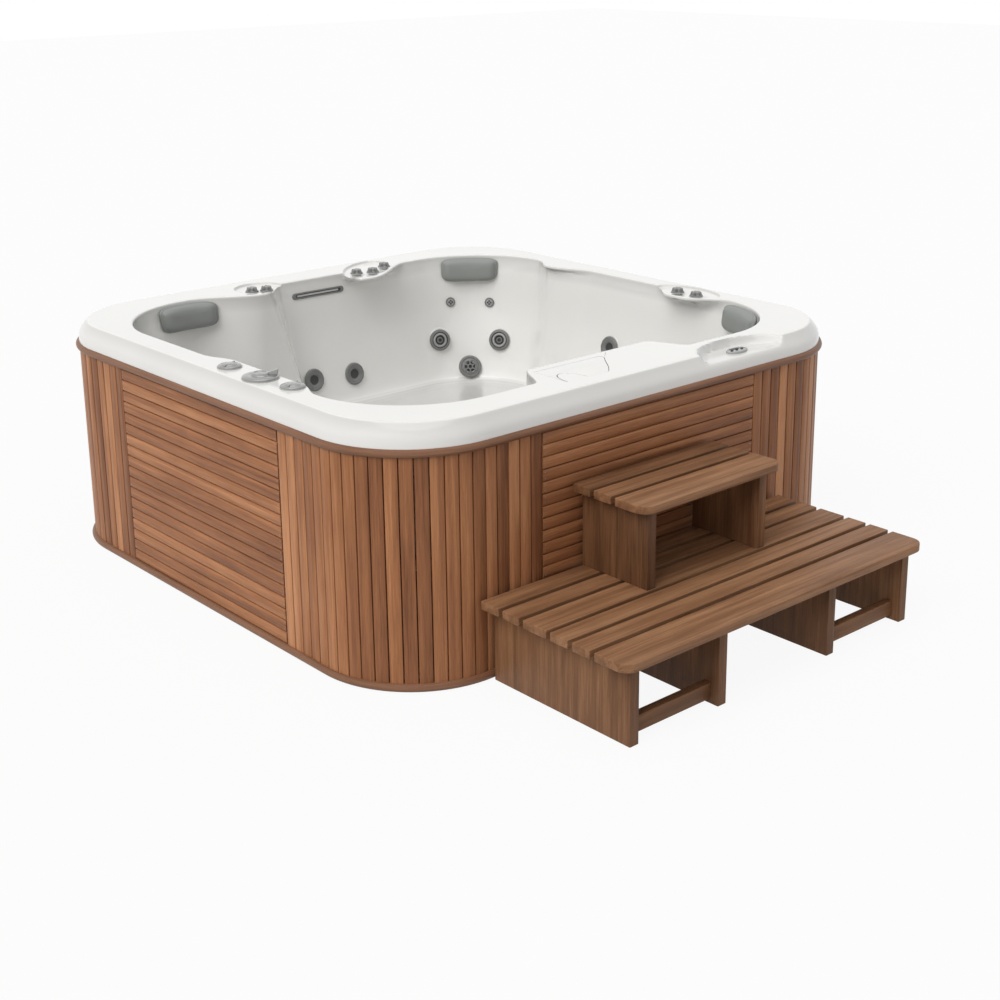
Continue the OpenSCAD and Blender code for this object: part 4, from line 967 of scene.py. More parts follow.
# Upper face, from the skirt over rim, deck and lip and down the wall to the footwell
def shellRings(t):
    outer = rimOutline(0, t)
    rings = [ringAt(*outer, z) for z in (skirtTop, skirtTop * 0.5 + (rimTop - rimRows[0][1]) * 0.5)]
    for back, down in rimRows:
        x, y = rimOutline(back, t)
        dip = recessDrop(x, y)
        blend = recess["blend"] * dip / recess["drop"] + 1e-6
        near = np.maximum(blend - np.abs(dip - down), 0) / blend
        rings.append(ringAt(x, y, rimTop - np.maximum(down, dip) - near ** 2 * blend / 4))
    outer = rimOutline(rimRows[-1][0], t)
    inner, middle = basinOutline(ringLook["deckEnd"], t), basinOutline(ringLook["lipStart"], t)
    lipRing = basinRing((-lip, rimTop, corner + lip, 1, 1), t)
    rings += blendRings(outer, inner, evenShares(ringLook["deck"]), deckHeight)
    rings += blendRings(inner, middle, ringLook["edge"], deckHeight)
    rings += blendRings(middle, lipRing.T[:2], evenShares(ringLook["lip"]), deckHeight)
    for k in range(1, ringLook["round"] + 1):
        a = math.pi / 2 * k / ringLook["round"]
        inset, z = -lip + lip * math.sin(a), rimTop - lip + lip * math.cos(a)
        rings.append(basinRing((inset, z, corner + lip * (1 - math.sin(a)), 1, 1), t))
    rings += [basinRing(level, t) for level in fineLevels(shell["wallSteps"])[1:]]
    return rings + [floorRing(t, share) for share in ringLook["floor"]]


# The underside lies one wall behind, on fewer rings
def underRings(t):
    wall = shell["thickness"]
    rings = [floorRing(t, share) - (0, 0, wall) for share in ringLook["underFloor"]]
    for i in range(len(wallLevels) - 1, 0, -1):
        level, before = wallLevels[i], wallLevels[i - 1]
        after = wallLevels[min(i + 1, len(wallLevels) - 1)]
        d = np.array([after[0] - before[0], after[1] - before[1]])
        n = np.array([d[1], -d[0]]) / np.linalg.norm(d) * wall
        rings.append(basinRing((level[0] + n[0], level[1] + n[1], level[2] - n[0], level[3], level[4]), t))
    inset, z = -lip - ringLook["underLipOut"], rimTop - wall - ringLook["underLipDown"]
    lipRing = basinRing((inset, z, corner + lip, 0, ringLook["underDivider"]), t)
    middle, outer = basinOutline(ringLook["underStart"], t), rimOutline(rimUnderRows[0][0], t)
    rings.append(lipRing)
    rings += blendRings(lipRing.T[:2], middle, evenShares(ringLook["underLip"]), underHeight)
    rings += blendRings(middle, outer, evenShares(ringLook["underDeck"]), underHeight)
    for back, down in rimUnderRows[1:]:
        x, y = rimOutline(back, t)
        rings.append(ringAt(x, y, rimTop - np.maximum(down, recessDrop(x, y) + wall)))
    rings.append(ringAt(*rimOutline(wall, t), skirtTop))
    return rings


# One closed skin, cut for the lid, its joint's groove, the filter's throat and the dishes
def buildShell():
    t = columnPlaces()
    rings = underRings(t) + shellRings(t)
    verts = [Vector(v) for ring in rings for v in ring]
    faces = closedGrid(len(rings), len(t))
    piece = meshPiece("mouldedShell", verts, faces, whiteAcrylic, angle=shell["smooth"])
    cutWith(piece, lidCutter())
    cutWith(piece, grooveCutter())
    throat = boxBody(shell["throatLow"], shell["throatHigh"], 0)
    cutWith(piece, meshPiece("throatCutter", *throat, whiteAcrylic))
    cutWith(piece, dishCutter())
    smoothByAngle(piece, shell["smooth"], weld=False)
    standFor(piece, "tub", "acrylic_white", "tub_shell")
    print("shell built:", len(piece.data.polygons), "faces")
    return piece


# Filter lid with a notch for a finger. Its right edge is an S-shaped joint that slants over the deck

lid = {
    "thickness": 0.012, "ease": 0.0012, "seam": 0.0006, "jointSeam": 0.0022, "bend": 0.009,
    "jointNear": (-0.155, -1.031), "jointFar": (0.07, -0.799), "jointSteps": 36, "edgeGap": 0.0025,
    "notchHalf": 0.047, "notchDeep": 0.088, "notchFrom": 0.002, "notchGap": 0.0024, "notchSteps": 24,
    "cutDown": 0.03, "cutUp": 0.02,
}
groove = {"depth": 0.004, "before": 0.05, "step": 0.006, "count": 13, "clear": 0.004, "past": 0.012,
          "overlap": 0.0001}
lidLow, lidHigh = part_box("filter_lid")


def jointX(y):
    near, far = lid["jointNear"], lid["jointFar"]
    s = (y - near[1]) / (far[1] - near[1])
    return near[0] + (far[0] - near[0]) * s + lid["bend"] * math.sin(2 * math.pi * s)


# Left and front edges follow the fitting below, the right one follows the joint
def lidOutline(grow, jointGrow, notchGap):
    front, depth = lidLow.y - grow, lidHigh.y - lidLow.y + 2 * grow
    half, deep = lid["notchHalf"] - notchGap, lid["notchDeep"] - notchGap
    middle = lidLow.x + lid["notchHalf"] + lid["notchFrom"]
    points = [(lidLow.x - grow, front)]
    for k in range(lid["notchSteps"] + 1):
        a = math.pi * k / lid["notchSteps"]
        points.append((middle - half * math.cos(a), front + deep * math.sin(a)))
    for k in range(lid["jointSteps"] + 1):
        y = front + k / lid["jointSteps"] * depth
        points.append((min(jointX(y), lidHigh.x - lid["edgeGap"]) + jointGrow, y))
    points.append((lidLow.x - grow, lidHigh.y + grow))
    return points


def lidCutter():
    points = lidOutline(lid["seam"], lid["jointSeam"], lid["notchGap"])
    body = prismBody(points, rimTop - lid["cutDown"], rimTop + lid["cutUp"])
    return meshPiece("lidCutter", *body, whiteAcrylic)


# The joint's line runs on over the deck to the basin's lip
def grooveCutter():
    line = []
    for k in range(groove["count"]):
        y = lidHigh.y - groove["before"] + k * groove["step"]
        if jointX(y) > lidHigh.x + groove["clear"] and y < lid["jointFar"][1] + groove["past"]:
            line.append((jointX(y), y))
    points = [(x - groove["overlap"], y) for x, y in line]
    points += [(x + lid["jointSeam"], y) for x, y in reversed(line)]
    body = prismBody(points[::-1], rimTop - groove["depth"], rimTop + lid["cutUp"])
    return meshPiece("grooveCutter", *body, whiteAcrylic)


def buildLid():
    work = bmesh.new()
    top = work.faces.new([work.verts.new((x, y, rimTop)) for x, y in lidOutline(0, 0, 0)])
    made = bmesh.ops.extrude_face_region(work, geom=[top])
    for v in made["geom"]:
        if isinstance(v, bmesh.types.BMVert):
            v.co.z -= lid["thickness"]
    work.normal_update()
    edges = [e for e in work.edges if all(abs(v.co.z - rimTop) < 1e-6 for v in e.verts)]
    bmesh.ops.bevel(work, geom=edges, offset=lid["ease"], segments=3, profile=0.5, affect="EDGES")
    bmesh.ops.recalc_face_normals(work, faces=work.faces)
    mesh = bpy.data.meshes.new("filterLid")
    work.to_mesh(mesh)
    work.free()
    mesh.materials.append(whiteAcrylic)
    piece = bpy.data.objects.new("filterLid", mesh)
    scene.collection.objects.link(piece)
    smoothByAngle(piece, 40)
    return standFor(piece, "filter_lid", "lid_gray", "filter_lid")


# Jets and the seats they stand on

jetLook = {
    "radius": 0.048, "wideRadius": 0.051, "wide": 8, "plain": (1, 2, 5), "flangeLift": 0.0043, "segments": 96,
    "lobes": 12, "lobeDepth": 0.018, "lobesFrom": 0.9, "holes": 6, "holeRing": 0.4, "holeRadius": 0.15,
    "bodyDepth": 0.036, "seatGap": 0.0035, "smooth": 40,
}


# Radius of a jet in the frame, from its height as it stands at its slant
def jetRadius(number):
    low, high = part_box("jet_face_%d" % number)
    axis = Vector(joints["jet_%d_turn" % number]["axis"])
    along = abs(axis.z)
    return ((high.z - low.z) - jetLook["bodyDepth"] * along) / (2 * math.sqrt(1 - along * along))


# Moulded seats under the jets' flanges, flared into the wall, and bosses under the knobs
def buildJetSeats():
    parts = []
    for number in range(1, 9):
        joint = joints["jet_%d_turn" % number]
        r = jetRadius(number) + jetLook["seatGap"]
        profile = [(0, -0.02), (r + 0.022, -0.02), (r + 0.0115, -0.0145), (r + 0.0055, -0.0088),
                   (r + 0.0024, -0.0042), (r + 0.0012, -0.0016), (r + 0.0002, -0.0003), (r - 0.0012, 0),
                   (0, 0)]
        verts, faces, _ = turnedBody(profile, 72)
        parts.append((carried(axisFrame(joint["pos_m"], joint["axis"]), verts), faces))
    for number in range(1, 8):
        joint = joints["pad_knob_%d_turn" % number]
        r, low = dishLook["boss"], rimTop - dishLook["depth"] - 0.001 - joint["pos_m"][2]
        profile = [(0, low), (r + 0.003, low), (r + 0.0012, low + 0.0016), (r, low + 0.0032),
                   (r - 0.0008, 0.0002), (0, 0.0002)]
        verts, faces, _ = turnedBody(profile, 40)
        parts.append(([Vector(joint["pos_m"]) + v for v in verts], faces))
    piece = meshPiece("jetSeats", *joined(parts), whiteAcrylic, angle=50)
    return standFor(piece, "tub", "acrylic_white")


buildShell()
buildLid()
buildJetSeats()


# Place and inward direction on the basin wall
def wallPlace(t, z, reach=0.004):
    table = np.array(wallLevels)
    radius, deckShare, dividerShare = [np.interp(-z, -table[:, 1], table[:, k]) for k in (2, 3, 4)]
    inset = np.interp(-z, -table[:, 1], table[:, 0])
    ring = basinRing((inset, z, radius, deckShare, dividerShare), np.array([t - reach, t, t + reach]))
    across = ring[2] - ring[0]
    inward = np.array([-across[1], across[0], 0])
    return ring[1], inward / np.linalg.norm(inward)


# Core and flange that the two kinds of small jets share
def flangeRows(r):
    return [(0, -0.003, 2), (r * 0.44, -0.003, 2), (r * 0.44, 0, 0), (r, 0, 0), (r, 0.0016, 0),
            (r - 0.0012, 0.0042, 0), (r - 0.0045, 0.0062, 0)]


# The small jets' grooves and middle hole are shallow, with floors painted near black as shade
def jetProfile(r):
    return flangeRows(r) + [
        (r * 0.76, 0.0058, 0), (r * 0.72, 0.0038, 2), (r * 0.665, 0.0026, 2), (r * 0.63, 0.0046, 1),
        (r * 0.56, 0.0058, 1), (r * 0.5, 0.0052, 1), (r * 0.455, 0.0022, 1), (r * 0.42, -0.0012, 2),
        (r * 0.36, -0.0022, 2), (r * 0.29, -0.0022, 2), (r * 0.28, 0.0015, 0), (r * 0.24, 0.0028, 0),
        (r * 0.17, 0.0022, 0), (r * 0.14, -0.0018, 2), (0, -0.0018, 2)]


# The plain kind has a smooth throat round one large hole, whose shallow floor is painted near black as shade
def throatProfile(r):
    return flangeRows(r) + [
        (r * 0.8, 0.006, 0), (r * 0.755, 0.0042, 0), (r * 0.7, 0.0048, 0), (r * 0.66, 0.0046, 0),
        (r * 0.56, 0.0028, 0), (r * 0.47, 0.0002, 0), (r * 0.43, -0.0016, 2), (r * 0.2, -0.0024, 2),
        (0, -0.0024, 2)]


def widePlateProfile(r):
    return [
        (0, -0.003, 2), (r * 0.45, -0.003, 2), (r * 0.45, 0), (r, 0), (r, 0.0016), (r - 0.0015, 0.0044),
        (r - 0.005, 0.0062), (r * 0.8, 0.0056), (r * 0.76, 0.0026), (r * 0.7, 0.0026), (r * 0.66, 0.0042),
        (r * 0.2, 0.0052), (0, 0.0054)]


# Six holes in a ring and one in the middle, cut shallow, with walls and floors painted near black as shade
def cutHoles(piece, place, radius):
    parts = []
    r = radius * jetLook["holeRadius"]
    verts, faces, _ = turnedBody([(0, -0.0015), (r, -0.0015), (r, 0.02), (0, 0.02)], 24)
    for k in range(jetLook["holes"] + 1):
        a = math.pi / 3 * k
        ring = radius * jetLook["holeRing"]
        shift = Vector((ring * math.cos(a), ring * math.sin(a), 0)) if k < jetLook["holes"] else Vector()
        parts.append(([place @ (v + shift) for v in verts], faces))
    cutWith(piece, meshPiece("jetHoles", *joined(parts), jetDarkAndHoleShade))
    smoothByAngle(piece, jetLook["smooth"], weld=False)


def buildJet(number):
    joint = joints["jet_%d_turn" % number]
    wide = number == jetLook["wide"]
    radius = jetLook["wideRadius"] if wide else jetLook["radius"]
    if wide:
        profile = widePlateProfile(radius)
    else:
        profile = throatProfile(radius) if number in jetLook["plain"] else jetProfile(radius)

    def ripple(a, r, height):
        on = r > radius * jetLook["lobesFrom"] and height > 0.001
        return 1 - (jetLook["lobeDepth"] * (0.5 - 0.5 * math.cos(jetLook["lobes"] * a)) if on else 0)

    verts, faces, picks = turnedBody(profile, jetLook["segments"], ripple)
    place = axisFrame(joint["pos_m"], joint["axis"]) @ Matrix.Translation((0, 0, jetLook["flangeLift"]))
    verts = carried(place, verts)
    piece = meshPiece("jetFace%d" % number, verts, faces, jetTones, picks, angle=jetLook["smooth"])
    if wide:
        cutHoles(piece, place, radius)
    return standFor(piece, "jet_face_%d" % number, "jet_gray", "jet_face_%d" % number)


for number in range(1, 9):
    buildJet(number)
print("jets built")


# Deck controls

dialLook = {"foot": 0.0033, "under": 0.0006, "smooth": 38}
knob = {"radius": 0.0265, "lobes": 6, "lobeDepth": 0.3, "lobesFrom": 0.0045, "smooth": 40}
airDial = {"turn": 28, "finHalf": 0.84, "finSlim": 0.0055}
diverter = {"radius": 0.0608, "turn": -41, "leverFrom": 0.3, "leverRun": 0.62, "leverRise": 0.76}


# Foot of a turned control, and the height that its face starts at
def controlFoot(r, share):
    under, foot = dialLook["under"], dialLook["foot"]
    return [(0, under), (r * share, under), (r * share, foot), (r, foot)], foot


def lobed(count, depth, above):
    return lambda a, r, height: 1 - (depth * (0.5 - 0.5 * math.cos(count * a)) ** 2 if height > above else 0)


def placeControl(label, name, verts, faces, material, turn, angle):
    joint = joints[name + "_turn"]
    place = axisFrame(joint["pos_m"], joint["axis"], (0, 1, 0)) @ turn
    piece = meshPiece(label, carried(place, verts), faces, material, angle=angle)
    return standFor(piece, name, "dial_silver", name)


def buildKnob(number):
    r = knob["radius"]
    rows, z = controlFoot(r, 0.45)
    rows += [(r, z + 0.002), (r * 0.96, z + 0.0038), (r * 0.88, z + 0.005), (r * 0.86, z + 0.009),
             (r * 0.8, z + 0.0145), (r * 0.72, z + 0.0168), (r * 0.6, z + 0.0176), (r * 0.34, z + 0.0172),
             (r * 0.3, z + 0.0165), (0, z + 0.0162)]
    verts, faces, _ = turnedBody(rows, 96, lobed(knob["lobes"], knob["lobeDepth"], z + knob["lobesFrom"]))
    name = "pad_knob_%d" % number
    placeControl("padKnob%d" % number, name, verts, faces, knobSilver, Matrix(), knob["smooth"])


def buildAirDial(label, name):
    low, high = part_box(name)
    r = (high.x - low.x) / 2
    rows, z = controlFoot(r, 0.4)
    rows += [(r, z + 0.002), (r * 0.975, z + 0.004), (r * 0.9, z + 0.0058), (r * 0.74, z + 0.0078),
             (r * 0.7, z + 0.0068), (r * 0.66, z + 0.0068), (r * 0.62, z + 0.0086), (r * 0.4, z + 0.0108),
             (0, z + 0.012)]
    verts, faces, _ = turnedBody(rows, 72)
    half, slim = r * airDial["finHalf"], airDial["finSlim"]
    fin = boxBody((-half, -slim, z + 0.004), (half, slim, z + 0.0195), 0.0035, 4)
    for v in fin[0]:  # lower and narrower towards the ends
        share = abs(v.x) / half
        v.z -= max(0, v.z - z - 0.006) * 0.75 * share ** 2
        v.y *= 1 - 0.35 * share
    turn = Matrix.Rotation(math.radians(airDial["turn"]), 4, "Z")
    placeControl(label, name, *joined([(verts, faces), fin]), dialSilver, turn, dialLook["smooth"])


def buildDiverter():
    r = diverter["radius"]
    rows, z = controlFoot(r, 0.4)
    rows += [(r, z + 0.0028), (r * 0.985, z + 0.0052), (r * 0.93, z + 0.0074), (r * 0.8, z + 0.0092),
             (r * 0.6, z + 0.0108), (r * 0.55, z + 0.0098), (r * 0.5, z + 0.0122), (r * 0.47, z + 0.0158),
             (r * 0.42, z + 0.0172), (r * 0.36, z + 0.0165), (r * 0.32, z + 0.0145), (r * 0.12, z + 0.0155),
             (0, z + 0.0158)]
    verts, faces, _ = turnedBody(rows, 96)
    start = r * diverter["leverFrom"]
    lever = boxBody((start, -0.0065, z + 0.008), (r * 0.92, 0.0065, z + 0.032), 0.003, 4)
    for v in lever[0]:  # a wedge that rises outwards and leans back
        share = max(0, (v.x - start) / (r * diverter["leverRun"]))
        if v.z > z + 0.015:
            v.z = z + 0.0165 + diverter["leverRise"] * (v.z - z - 0.015) * share ** 1.6
            v.y *= 0.75
        v.x += (v.z - z) * 0.15
    turn = Matrix.Rotation(math.radians(diverter["turn"]), 4, "Z")
    parts = joined([(verts, faces), lever])
    placeControl("diverterDial", "diverter_dial", *parts, dialSilver, turn, dialLook["smooth"])


for number in range(1, 8):
    buildKnob(number)
buildAirDial("airDialLeft", "air_dial_left")
buildAirDial("airDialRight", "air_dial_right")
buildDiverter()
print("deck controls built")


# Waterfall mouthpiece: a rounded frame round a slot whose walls and closed end are painted near black as
# shade

waterfall = {"t": 0.975, "drop": 0.064, "width": 0.262, "height": 0.027, "slotWidth": 0.21,
             "slotHeight": 0.007, "lift": 0.0053, "depth": 0.02}


def stadium(width, height, steps=12):
    r = height / 2
    points = []
    for side in (1, -1):
        for k in range(steps + 1):
            a = math.radians(side * -90 + 180 * k / steps)
            points.append((side * (width / 2 - r) + r * math.cos(a), r * math.sin(a)))
    return points


# Place on the wall with its axis and the way up along the wall
def wallFrame(t, z, step):
    spot, inward = wallPlace(t, z)
    above, _ = wallPlace(t, z + step)
    up = Vector(above) - Vector(spot)
    return Vector(spot), up.cross(Vector(inward)).cross(up).normalized(), up


def buildWaterfall():
    spot, axis, up = wallFrame(waterfall["t"], rimTop - waterfall["drop"], 0.02)
    w, h, top = waterfall["width"], waterfall["height"], waterfall["lift"]
    slotW, slotH = waterfall["slotWidth"], waterfall["slotHeight"]
    # Material 2 paints the slot's walls and its closed end near black as shade
    loops = [(w, h, 0.0003, 0), (w, h, top - 0.0022, 0), (w - 0.002, h - 0.002, top - 0.0006, 0),
             (w - 0.005, h - 0.005, top, 0), (slotW + 0.02, slotH + 0.008, top - 0.0004, 0),
             (slotW + 0.004, slotH + 0.002, top - 0.0016, 2), (slotW, slotH, top - 0.004, 2),
             (slotW, slotH, -waterfall["depth"], 2)]
    verts, picks = [], []
    for width, height, lift, pick in loops:
        row = [Vector((x, y, lift)) for x, y in stadium(width, height)]
        verts += row
        picks += [pick] * len(row)
    place = axisFrame(spot, axis, up)
    picks = picks[len(row):] + [0, 2]
    faces = closedGrid(len(loops), len(row))
    piece = meshPiece("waterfallMouth", carried(place, verts), faces, jetTones, picks, angle=40)
    return standFor(piece, "tub", "jet_gray", "waterfall_spout")


buildWaterfall()


# Small neck jets: a flange with four nozzles, one pair by each right-hand pillow

neckJets = {"spots": [(0.579, 0.363), (0.476, 0.357), (3.56, 0.351), (3.61, 0.351)], "radius": 0.0213,
            "stand": 0.0042, "nozzles": 4, "nozzleRing": 0.33}


def buildNeckJets():
    parts, picks = [], []
    r = neckJets["radius"]
    flange = turnedBody([
        (0, -0.003), (r, -0.003), (r, 0.0016), (r * 0.93, 0.0028), (r * 0.8, 0.0032), (r * 0.72, 0.0022),
        (r * 0.66, 0.0024, 1), (r * 0.5, 0.0036, 1), (0, 0.004, 1)], 40)
    nozzle = turnedBody([
        (0, 0.0026, 2), (r * 0.2, 0.0026, 2), (r * 0.2, 0.0043, 2), (r * 0.16, 0.0045, 2),
        (0, 0.0036, 2)], 16)
    for t, up in neckJets["spots"]:
        spot, axis, rise = wallFrame(t, seat + up, 0.01)
        place = axisFrame(spot + axis * neckJets["stand"], axis, rise)
        parts.append((carried(place, flange[0]), flange[1]))
        picks += flange[2]
        for k in range(neckJets["nozzles"]):
            a, ring = math.pi / 2 * k, r * neckJets["nozzleRing"]
            shift = Vector((ring * math.cos(a), ring * math.sin(a), 0))
            parts.append(([place @ (v + shift) for v in nozzle[0]], nozzle[1]))
            picks += nozzle[2]
    piece = meshPiece("neckJets", *joined(parts), jetTones, picks, angle=40)
    return standFor(piece, "tub", "jet_gray", "neck_jet_set")


buildNeckJets()


# Keypad: an oval case with a raised rim, a dark window and three soft buttons

keypad = {"rim": 0.0045, "height": 0.008, "columns": 64, "windowLow": (-0.022, 0.006, 0.006),
          "windowHigh": (0.022, 0.016, 0.0075), "windowEase": 0.0006}


def buildKeypad():
    low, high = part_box("keypad")
    halfX, halfY = (high.x - low.x) / 2, (high.y - low.y) / 2
    rim, columns = keypad["rim"], keypad["columns"]
    rows = [(halfX, halfY, 0, 0), (halfX, halfY, 0.004, 0), (halfX - 0.001, halfY - 0.001, 0.0068, 0),
            (halfX - 0.003, halfY - 0.003, 0.008, 0), (halfX - rim, halfY - rim, 0.0074, 0),
            (halfX - rim - 0.001, halfY - rim - 0.001, 0.0062, 1),
            (halfX - rim - 0.008, halfY - rim - 0.006, 0.0066, 1), (halfX * 0.3, halfY * 0.3, 0.0068, 1)]
    verts, picks = [], []
    for a, b, z, pick in rows:
        verts += ellipseRow(a, b, z, columns)
        picks += [pick] * columns
    window = boxBody(keypad["windowLow"], keypad["windowHigh"], keypad["windowEase"])
    verts, faces = joined([(verts, closedGrid(len(rows), columns)), window])
    picks = picks[columns:] + [0, 1] + [2] * len(window[1])
    place = Matrix.Translation(((low.x + high.x) / 2, (low.y + high.y) / 2, high.z - keypad["height"]))
    tones = [jetLight, dialSilver, jetDarkAndHoleShade]
    piece = meshPiece("keypadCase", carried(place, verts), faces, tones, picks, angle=40)
    standFor(piece, "tub", "dial_silver", "keypad")


def buildButton(number):
    name = "keypad_button_%d" % number
    low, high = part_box(name)
    r, tall = (high.x - low.x) / 2, high.z - low.z
    profile = [(0, 0), (r, 0), (r, tall - 0.0012), (r * 0.9, tall - 0.0004), (r * 0.7, tall),
               (r * 0.5, tall - 0.0003), (0, tall - 0.0005)]
    verts, faces, _ = turnedBody(profile, 32)
    place = Matrix.Translation(((low.x + high.x) / 2, (low.y + high.y) / 2, low.z))
    piece = meshPiece("keypadButton%d" % number, carried(place, verts), faces, darkPlastic, angle=40)
    standFor(piece, name, "button_rubber", name)


buildKeypad()
for number in (1, 2, 3):
    buildButton(number)
print("keypad built")


# Head pillows: moulded foam, crowned, with a flat welt round the edge

pillow = {"spots": [1.337, 0.529, 3.585], "width": 0.262, "height": 0.104, "thickness": 0.044,
          "stand": 0.0015, "middle": rimTop - lip - 0.002 - 0.052, "around": 120, "power": 0.42,
          "flare": 0.07, "spanStep": 0.02}
pillowRows = [
    (0.9, 0), (0.96, 0.03), (0.99, 0.09), (1.0, 0.17), (0.992, 0.24), (0.972, 0.285), (0.955, 0.3),
    (0.942, 0.33), (0.93, 0.42), (0.91, 0.56), (0.87, 0.7), (0.81, 0.81), (0.72, 0.895), (0.6, 0.95),
    (0.45, 0.982), (0.25, 0.997)]


def pillowEdge(a):
    wide, tall = [math.copysign(abs(c) ** pillow["power"], c) for c in (math.cos(a), math.sin(a))]
    wide *= 1 + pillow["flare"] * math.sin(a)
    return wide * pillow["width"] / 2, tall * pillow["height"] / 2


def buildPillow(number, t):
    near, _ = wallPlace(t - pillow["spanStep"], pillow["middle"])
    far, _ = wallPlace(t + pillow["spanStep"], pillow["middle"])
    span = np.linalg.norm(far - near) / (2 * pillow["spanStep"])

    def point(x, y, depth):
        spot, inward = wallPlace(t + x / span, pillow["middle"] + y)
        return Vector(spot + inward * (pillow["stand"] + depth))

    n = pillow["around"]
    verts = [point(*(c * share for c in pillowEdge(2 * math.pi * k / n)), pillow["thickness"] * depth)
             for share, depth in pillowRows for k in range(n)]
    faces = gridFaces(len(pillowRows), n)
    verts += [point(0, 0, 0), point(0, 0, pillow["thickness"])]
    last = (len(pillowRows) - 1) * n
    faces += [(len(verts) - 2, (k + 1) % n, k) for k in range(n)]
    faces += [(len(verts) - 1, last + k, last + (k + 1) % n) for k in range(n)]
    piece = meshPiece("headPillow%d" % number, verts, faces, pillowSkin, angle=60)
    standFor(piece, "tub", "pillow_foam", "pillows")
    return piece


for number, t in enumerate(pillow["spots"], 1):
    buildPillow(number, t)
print("pillows built")


# Steps

steps = {
    "ease": 0.003, "cornerRound": 0.048, "cornerSteps": 8, "gap": 0.018, "frontWidth": 0.133,
    "slatThickness": 0.028, "uprightThickness": 0.0366, "upperBoards": 0.293,
    "uprights": (-0.7296, -0.3493, 0.176, 0.5678), "uprightTop": 0.257,
    "upperUprights": (-0.3493, 0.176), "upperLow": 0.2853, "upperTop": 0.548,
    "stretchers": ((-0.693, -0.3493), (0.2126, 0.5678)), "stretcherEase": 0.002, "roundEdges": 0.6,
}
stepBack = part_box("step_slats")[1].y
tiers = [{"left": -0.783, "right": 0.641, "slats": [0.082, 0.075, 0.102, 0.075, 0.075], "top": 0.285},
         {"left": -0.391, "right": 0.269, "slats": [0.075, 0.075], "top": 0.576}]


# The front slat of a tier, with round corners at its front
def roundedSlat(left, right, front, back, low, high):
    r, count = steps["cornerRound"], steps["cornerSteps"]
    points = [(right, back), (left, back)]
    for start, middle in ((math.pi, left + r), (1.5 * math.pi, right - r)):
        for k in range(count + 1):
            a = start + math.pi / 2 * k / count
            points.append((middle + r * math.cos(a), front + r + r * math.sin(a)))
    work = bmesh.new()
    addBody(work, *prismBody(points, low, high))
    work.normal_update()
    edges = [e for e in work.edges if e.calc_face_angle(0) > steps["roundEdges"]]
    bmesh.ops.bevel(work, geom=edges, offset=steps["ease"], segments=3, profile=0.5, affect="EDGES")
    work.verts.index_update()
    result = [v.co.copy() for v in work.verts], [[v.index for v in f.verts] for f in work.faces]
    work.free()
    return result


def buildSteps():
    slats = []
    for tier in tiers:
        left, right, top = tier["left"], tier["right"], tier["top"]
        low, back = top - steps["slatThickness"], stepBack
        for width in tier["slats"]:
            slats.append((*boxBody((left, back - width, low), (right, back, top), steps["ease"], 3), "x"))
            back -= width + steps["gap"]
        slats.append((*roundedSlat(left, right, back - steps["frontWidth"], back, low, top), "x"))
    standFor(boardPiece("stepSlats", slats, stepWood, 5), "steps", "step_wood", "step_slats")
    thick, front = steps["uprightThickness"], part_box("step_uprights")[0].y
    upright = [((x, front, 0), (x + thick, stepBack, steps["uprightTop"])) for x in steps["uprights"]]
    front = stepBack - steps["upperBoards"]
    upright += [((x, front, steps["upperLow"]), (x + thick, stepBack, steps["upperTop"]))
                for x in steps["upperUprights"]]
    boards = [(*boxBody(*ends, steps["ease"]), "z") for ends in upright]
    standFor(boardPiece("stepUprights", boards, stepWood, 9), "steps", "step_wood", "step_uprights")
    low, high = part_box("step_stretchers")
    bars = []
    for start, end in steps["stretchers"]:
        bars.append((*boxBody((start, low.y, low.z), (end, high.y, high.z), steps["stretcherEase"]), "x"))
    standFor(boardPiece("stepStretchers", bars, stepWood, 12), "steps", "step_wood", "step_stretchers")


buildSteps()
print("steps built")


# CAD pieces that stay as they are get their finishes

finishes = {
    framePine: ["timber_frame", "corner_formers", "shell_blocks", "footwell_cradle"],
    darkPlastic: ["base_pan", "jet_pumps", "control_box", "air_blower", "cable_gland"],
    fittingGray: ["jet_bodies", "suction_covers", "floor_drain", "drain_valve", "valve_bodies"],
    whiteAcrylic: ["filter_well", "weir_flap"],
    filterCloth: ["filter_cartridge"],
    heaterSteel: ["heater"],
}
for material, names in finishes.items():
    for name in names:
        nodes[name].data.materials.clear()
        nodes[name].data.materials.append(material)


# Camera, light and floor

view = {"place": (-3.7236, -4.619, 2.2765), "yaw": 0.7133, "pitch": 0.2863, "roll": -0.0112, "lens": 57.69,
        "sensor": 36, "shiftY": -0.1}


def addCamera():
    data = bpy.data.cameras.new("camera")
    data.lens = view["lens"]
    data.sensor_width = view["sensor"]
    data.shift_y = view["shiftY"]
    camera = bpy.data.objects.new("camera", data)
    scene.collection.objects.link(camera)
    yaw, pitch, roll = view["yaw"], view["pitch"], view["roll"]
    ahead = Vector((math.sin(yaw) * math.cos(pitch), math.cos(yaw) * math.cos(pitch), -math.sin(pitch)))
    level = Vector((math.cos(yaw), -math.sin(yaw), 0))
    up = level.cross(ahead)
    right = level * math.cos(roll) + up * math.sin(roll)
    top = up * math.cos(roll) - level * math.sin(roll)
    turn = Matrix((right, top, -ahead)).transposed().to_4x4()
    turn.translation = Vector(view["place"])
    camera.matrix_world = turn
    scene.camera = camera


lights = {
    "world": 0.44,
    "key": {"aim": (0.7, 0.12, -0.68), "strength": 2.0, "angle": 40, "color": (1, 0.985, 0.965),
            "mirrored": False},
    "top": {"aim": (0.05, 0.1, -1), "strength": 0.75, "angle": 50, "color": (1, 1, 1), "mirrored": True},
}
floorLook = {"half": 30, "below": 0.0005, "albedo": 0.6, "roughness": 0.9, "whiteShare": 0.92}


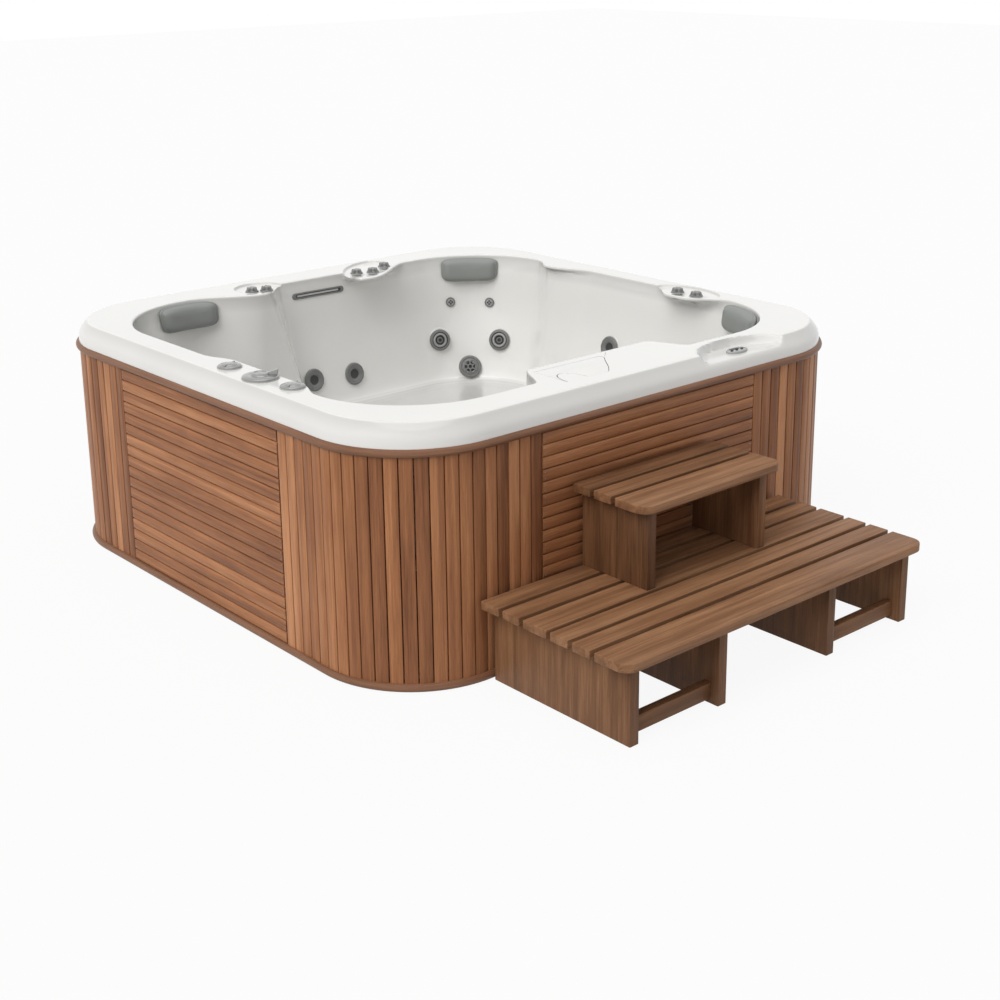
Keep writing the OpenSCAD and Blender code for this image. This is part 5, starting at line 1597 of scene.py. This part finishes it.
# 1 for rays that show a thing directly, in a mirror or through a clear body, 0 for those that only light it
def seenRays(tree):
    path = addNode(tree, "ShaderNodeLightPath").outputs
    mirrored = mathNode(tree, "MAXIMUM", path["Is Glossy Ray"], path["Is Transmission Ray"])
    return mathNode(tree, "MAXIMUM", path["Is Camera Ray"], mirrored)


def addLights():
    scene.world = bpy.data.worlds.new("studio")
    scene.world.use_nodes = True
    tree = scene.world.node_tree
    tree.nodes.clear()
    soft = addNode(tree, "ShaderNodeBackground", {"Color": (1, 1, 1, 1), "Strength": lights["world"]})
    plain = addNode(tree, "ShaderNodeBackground", {"Color": (1, 1, 1, 1), "Strength": 1.0})
    both = addNode(tree, "ShaderNodeMixShader", {0: seenRays(tree), 1: soft.outputs[0], 2: plain.outputs[0]})
    out = addNode(tree, "ShaderNodeOutputWorld")
    tree.links.new(both.outputs[0], out.inputs[0])
    for name in ("key", "top"):
        look = lights[name]
        data = bpy.data.lights.new(name, "SUN")
        data.energy = look["strength"]
        data.angle = math.radians(look["angle"])
        data.color = look["color"]
        lamp = bpy.data.objects.new(name, data)
        lamp.rotation_euler = Vector(look["aim"]).to_track_quat("-Z", "Y").to_euler()
        lamp.visible_glossy = look["mirrored"]
        scene.collection.objects.link(lamp)


def addFloor():
    mesh = bpy.data.meshes.new("studioFloor")
    half, z, albedo = floorLook["half"], -floorLook["below"], floorLook["albedo"]
    corners = [(-half, -half, z), (half, -half, z), (half, half, z), (-half, half, z)]
    mesh.from_pydata(corners, [], [(0, 1, 2, 3)])
    floor = bpy.data.objects.new("studioFloor", mesh)
    scene.collection.objects.link(floor)
    material, tree, principled = newMaterial("floorWhite", {
        "Base Color": (albedo, albedo, albedo, 1), "Roughness": floorLook["roughness"]})
    white = addNode(tree, "ShaderNodeEmission", {"Color": (1, 1, 1, 1), "Strength": 1.0})
    both = addNode(tree, "ShaderNodeMixShader", {
        0: mathNode(tree, "MULTIPLY", seenRays(tree), floorLook["whiteShare"]), 1: principled.outputs[0],
        2: white.outputs[0]})
    tree.links.new(both.outputs[0], tree.nodes["Material Output"].inputs[0])
    mesh.materials.append(material)


addCamera()
addLights()
addFloor()
scene.view_settings.view_transform = "Standard"
print("camera, light and floor set")
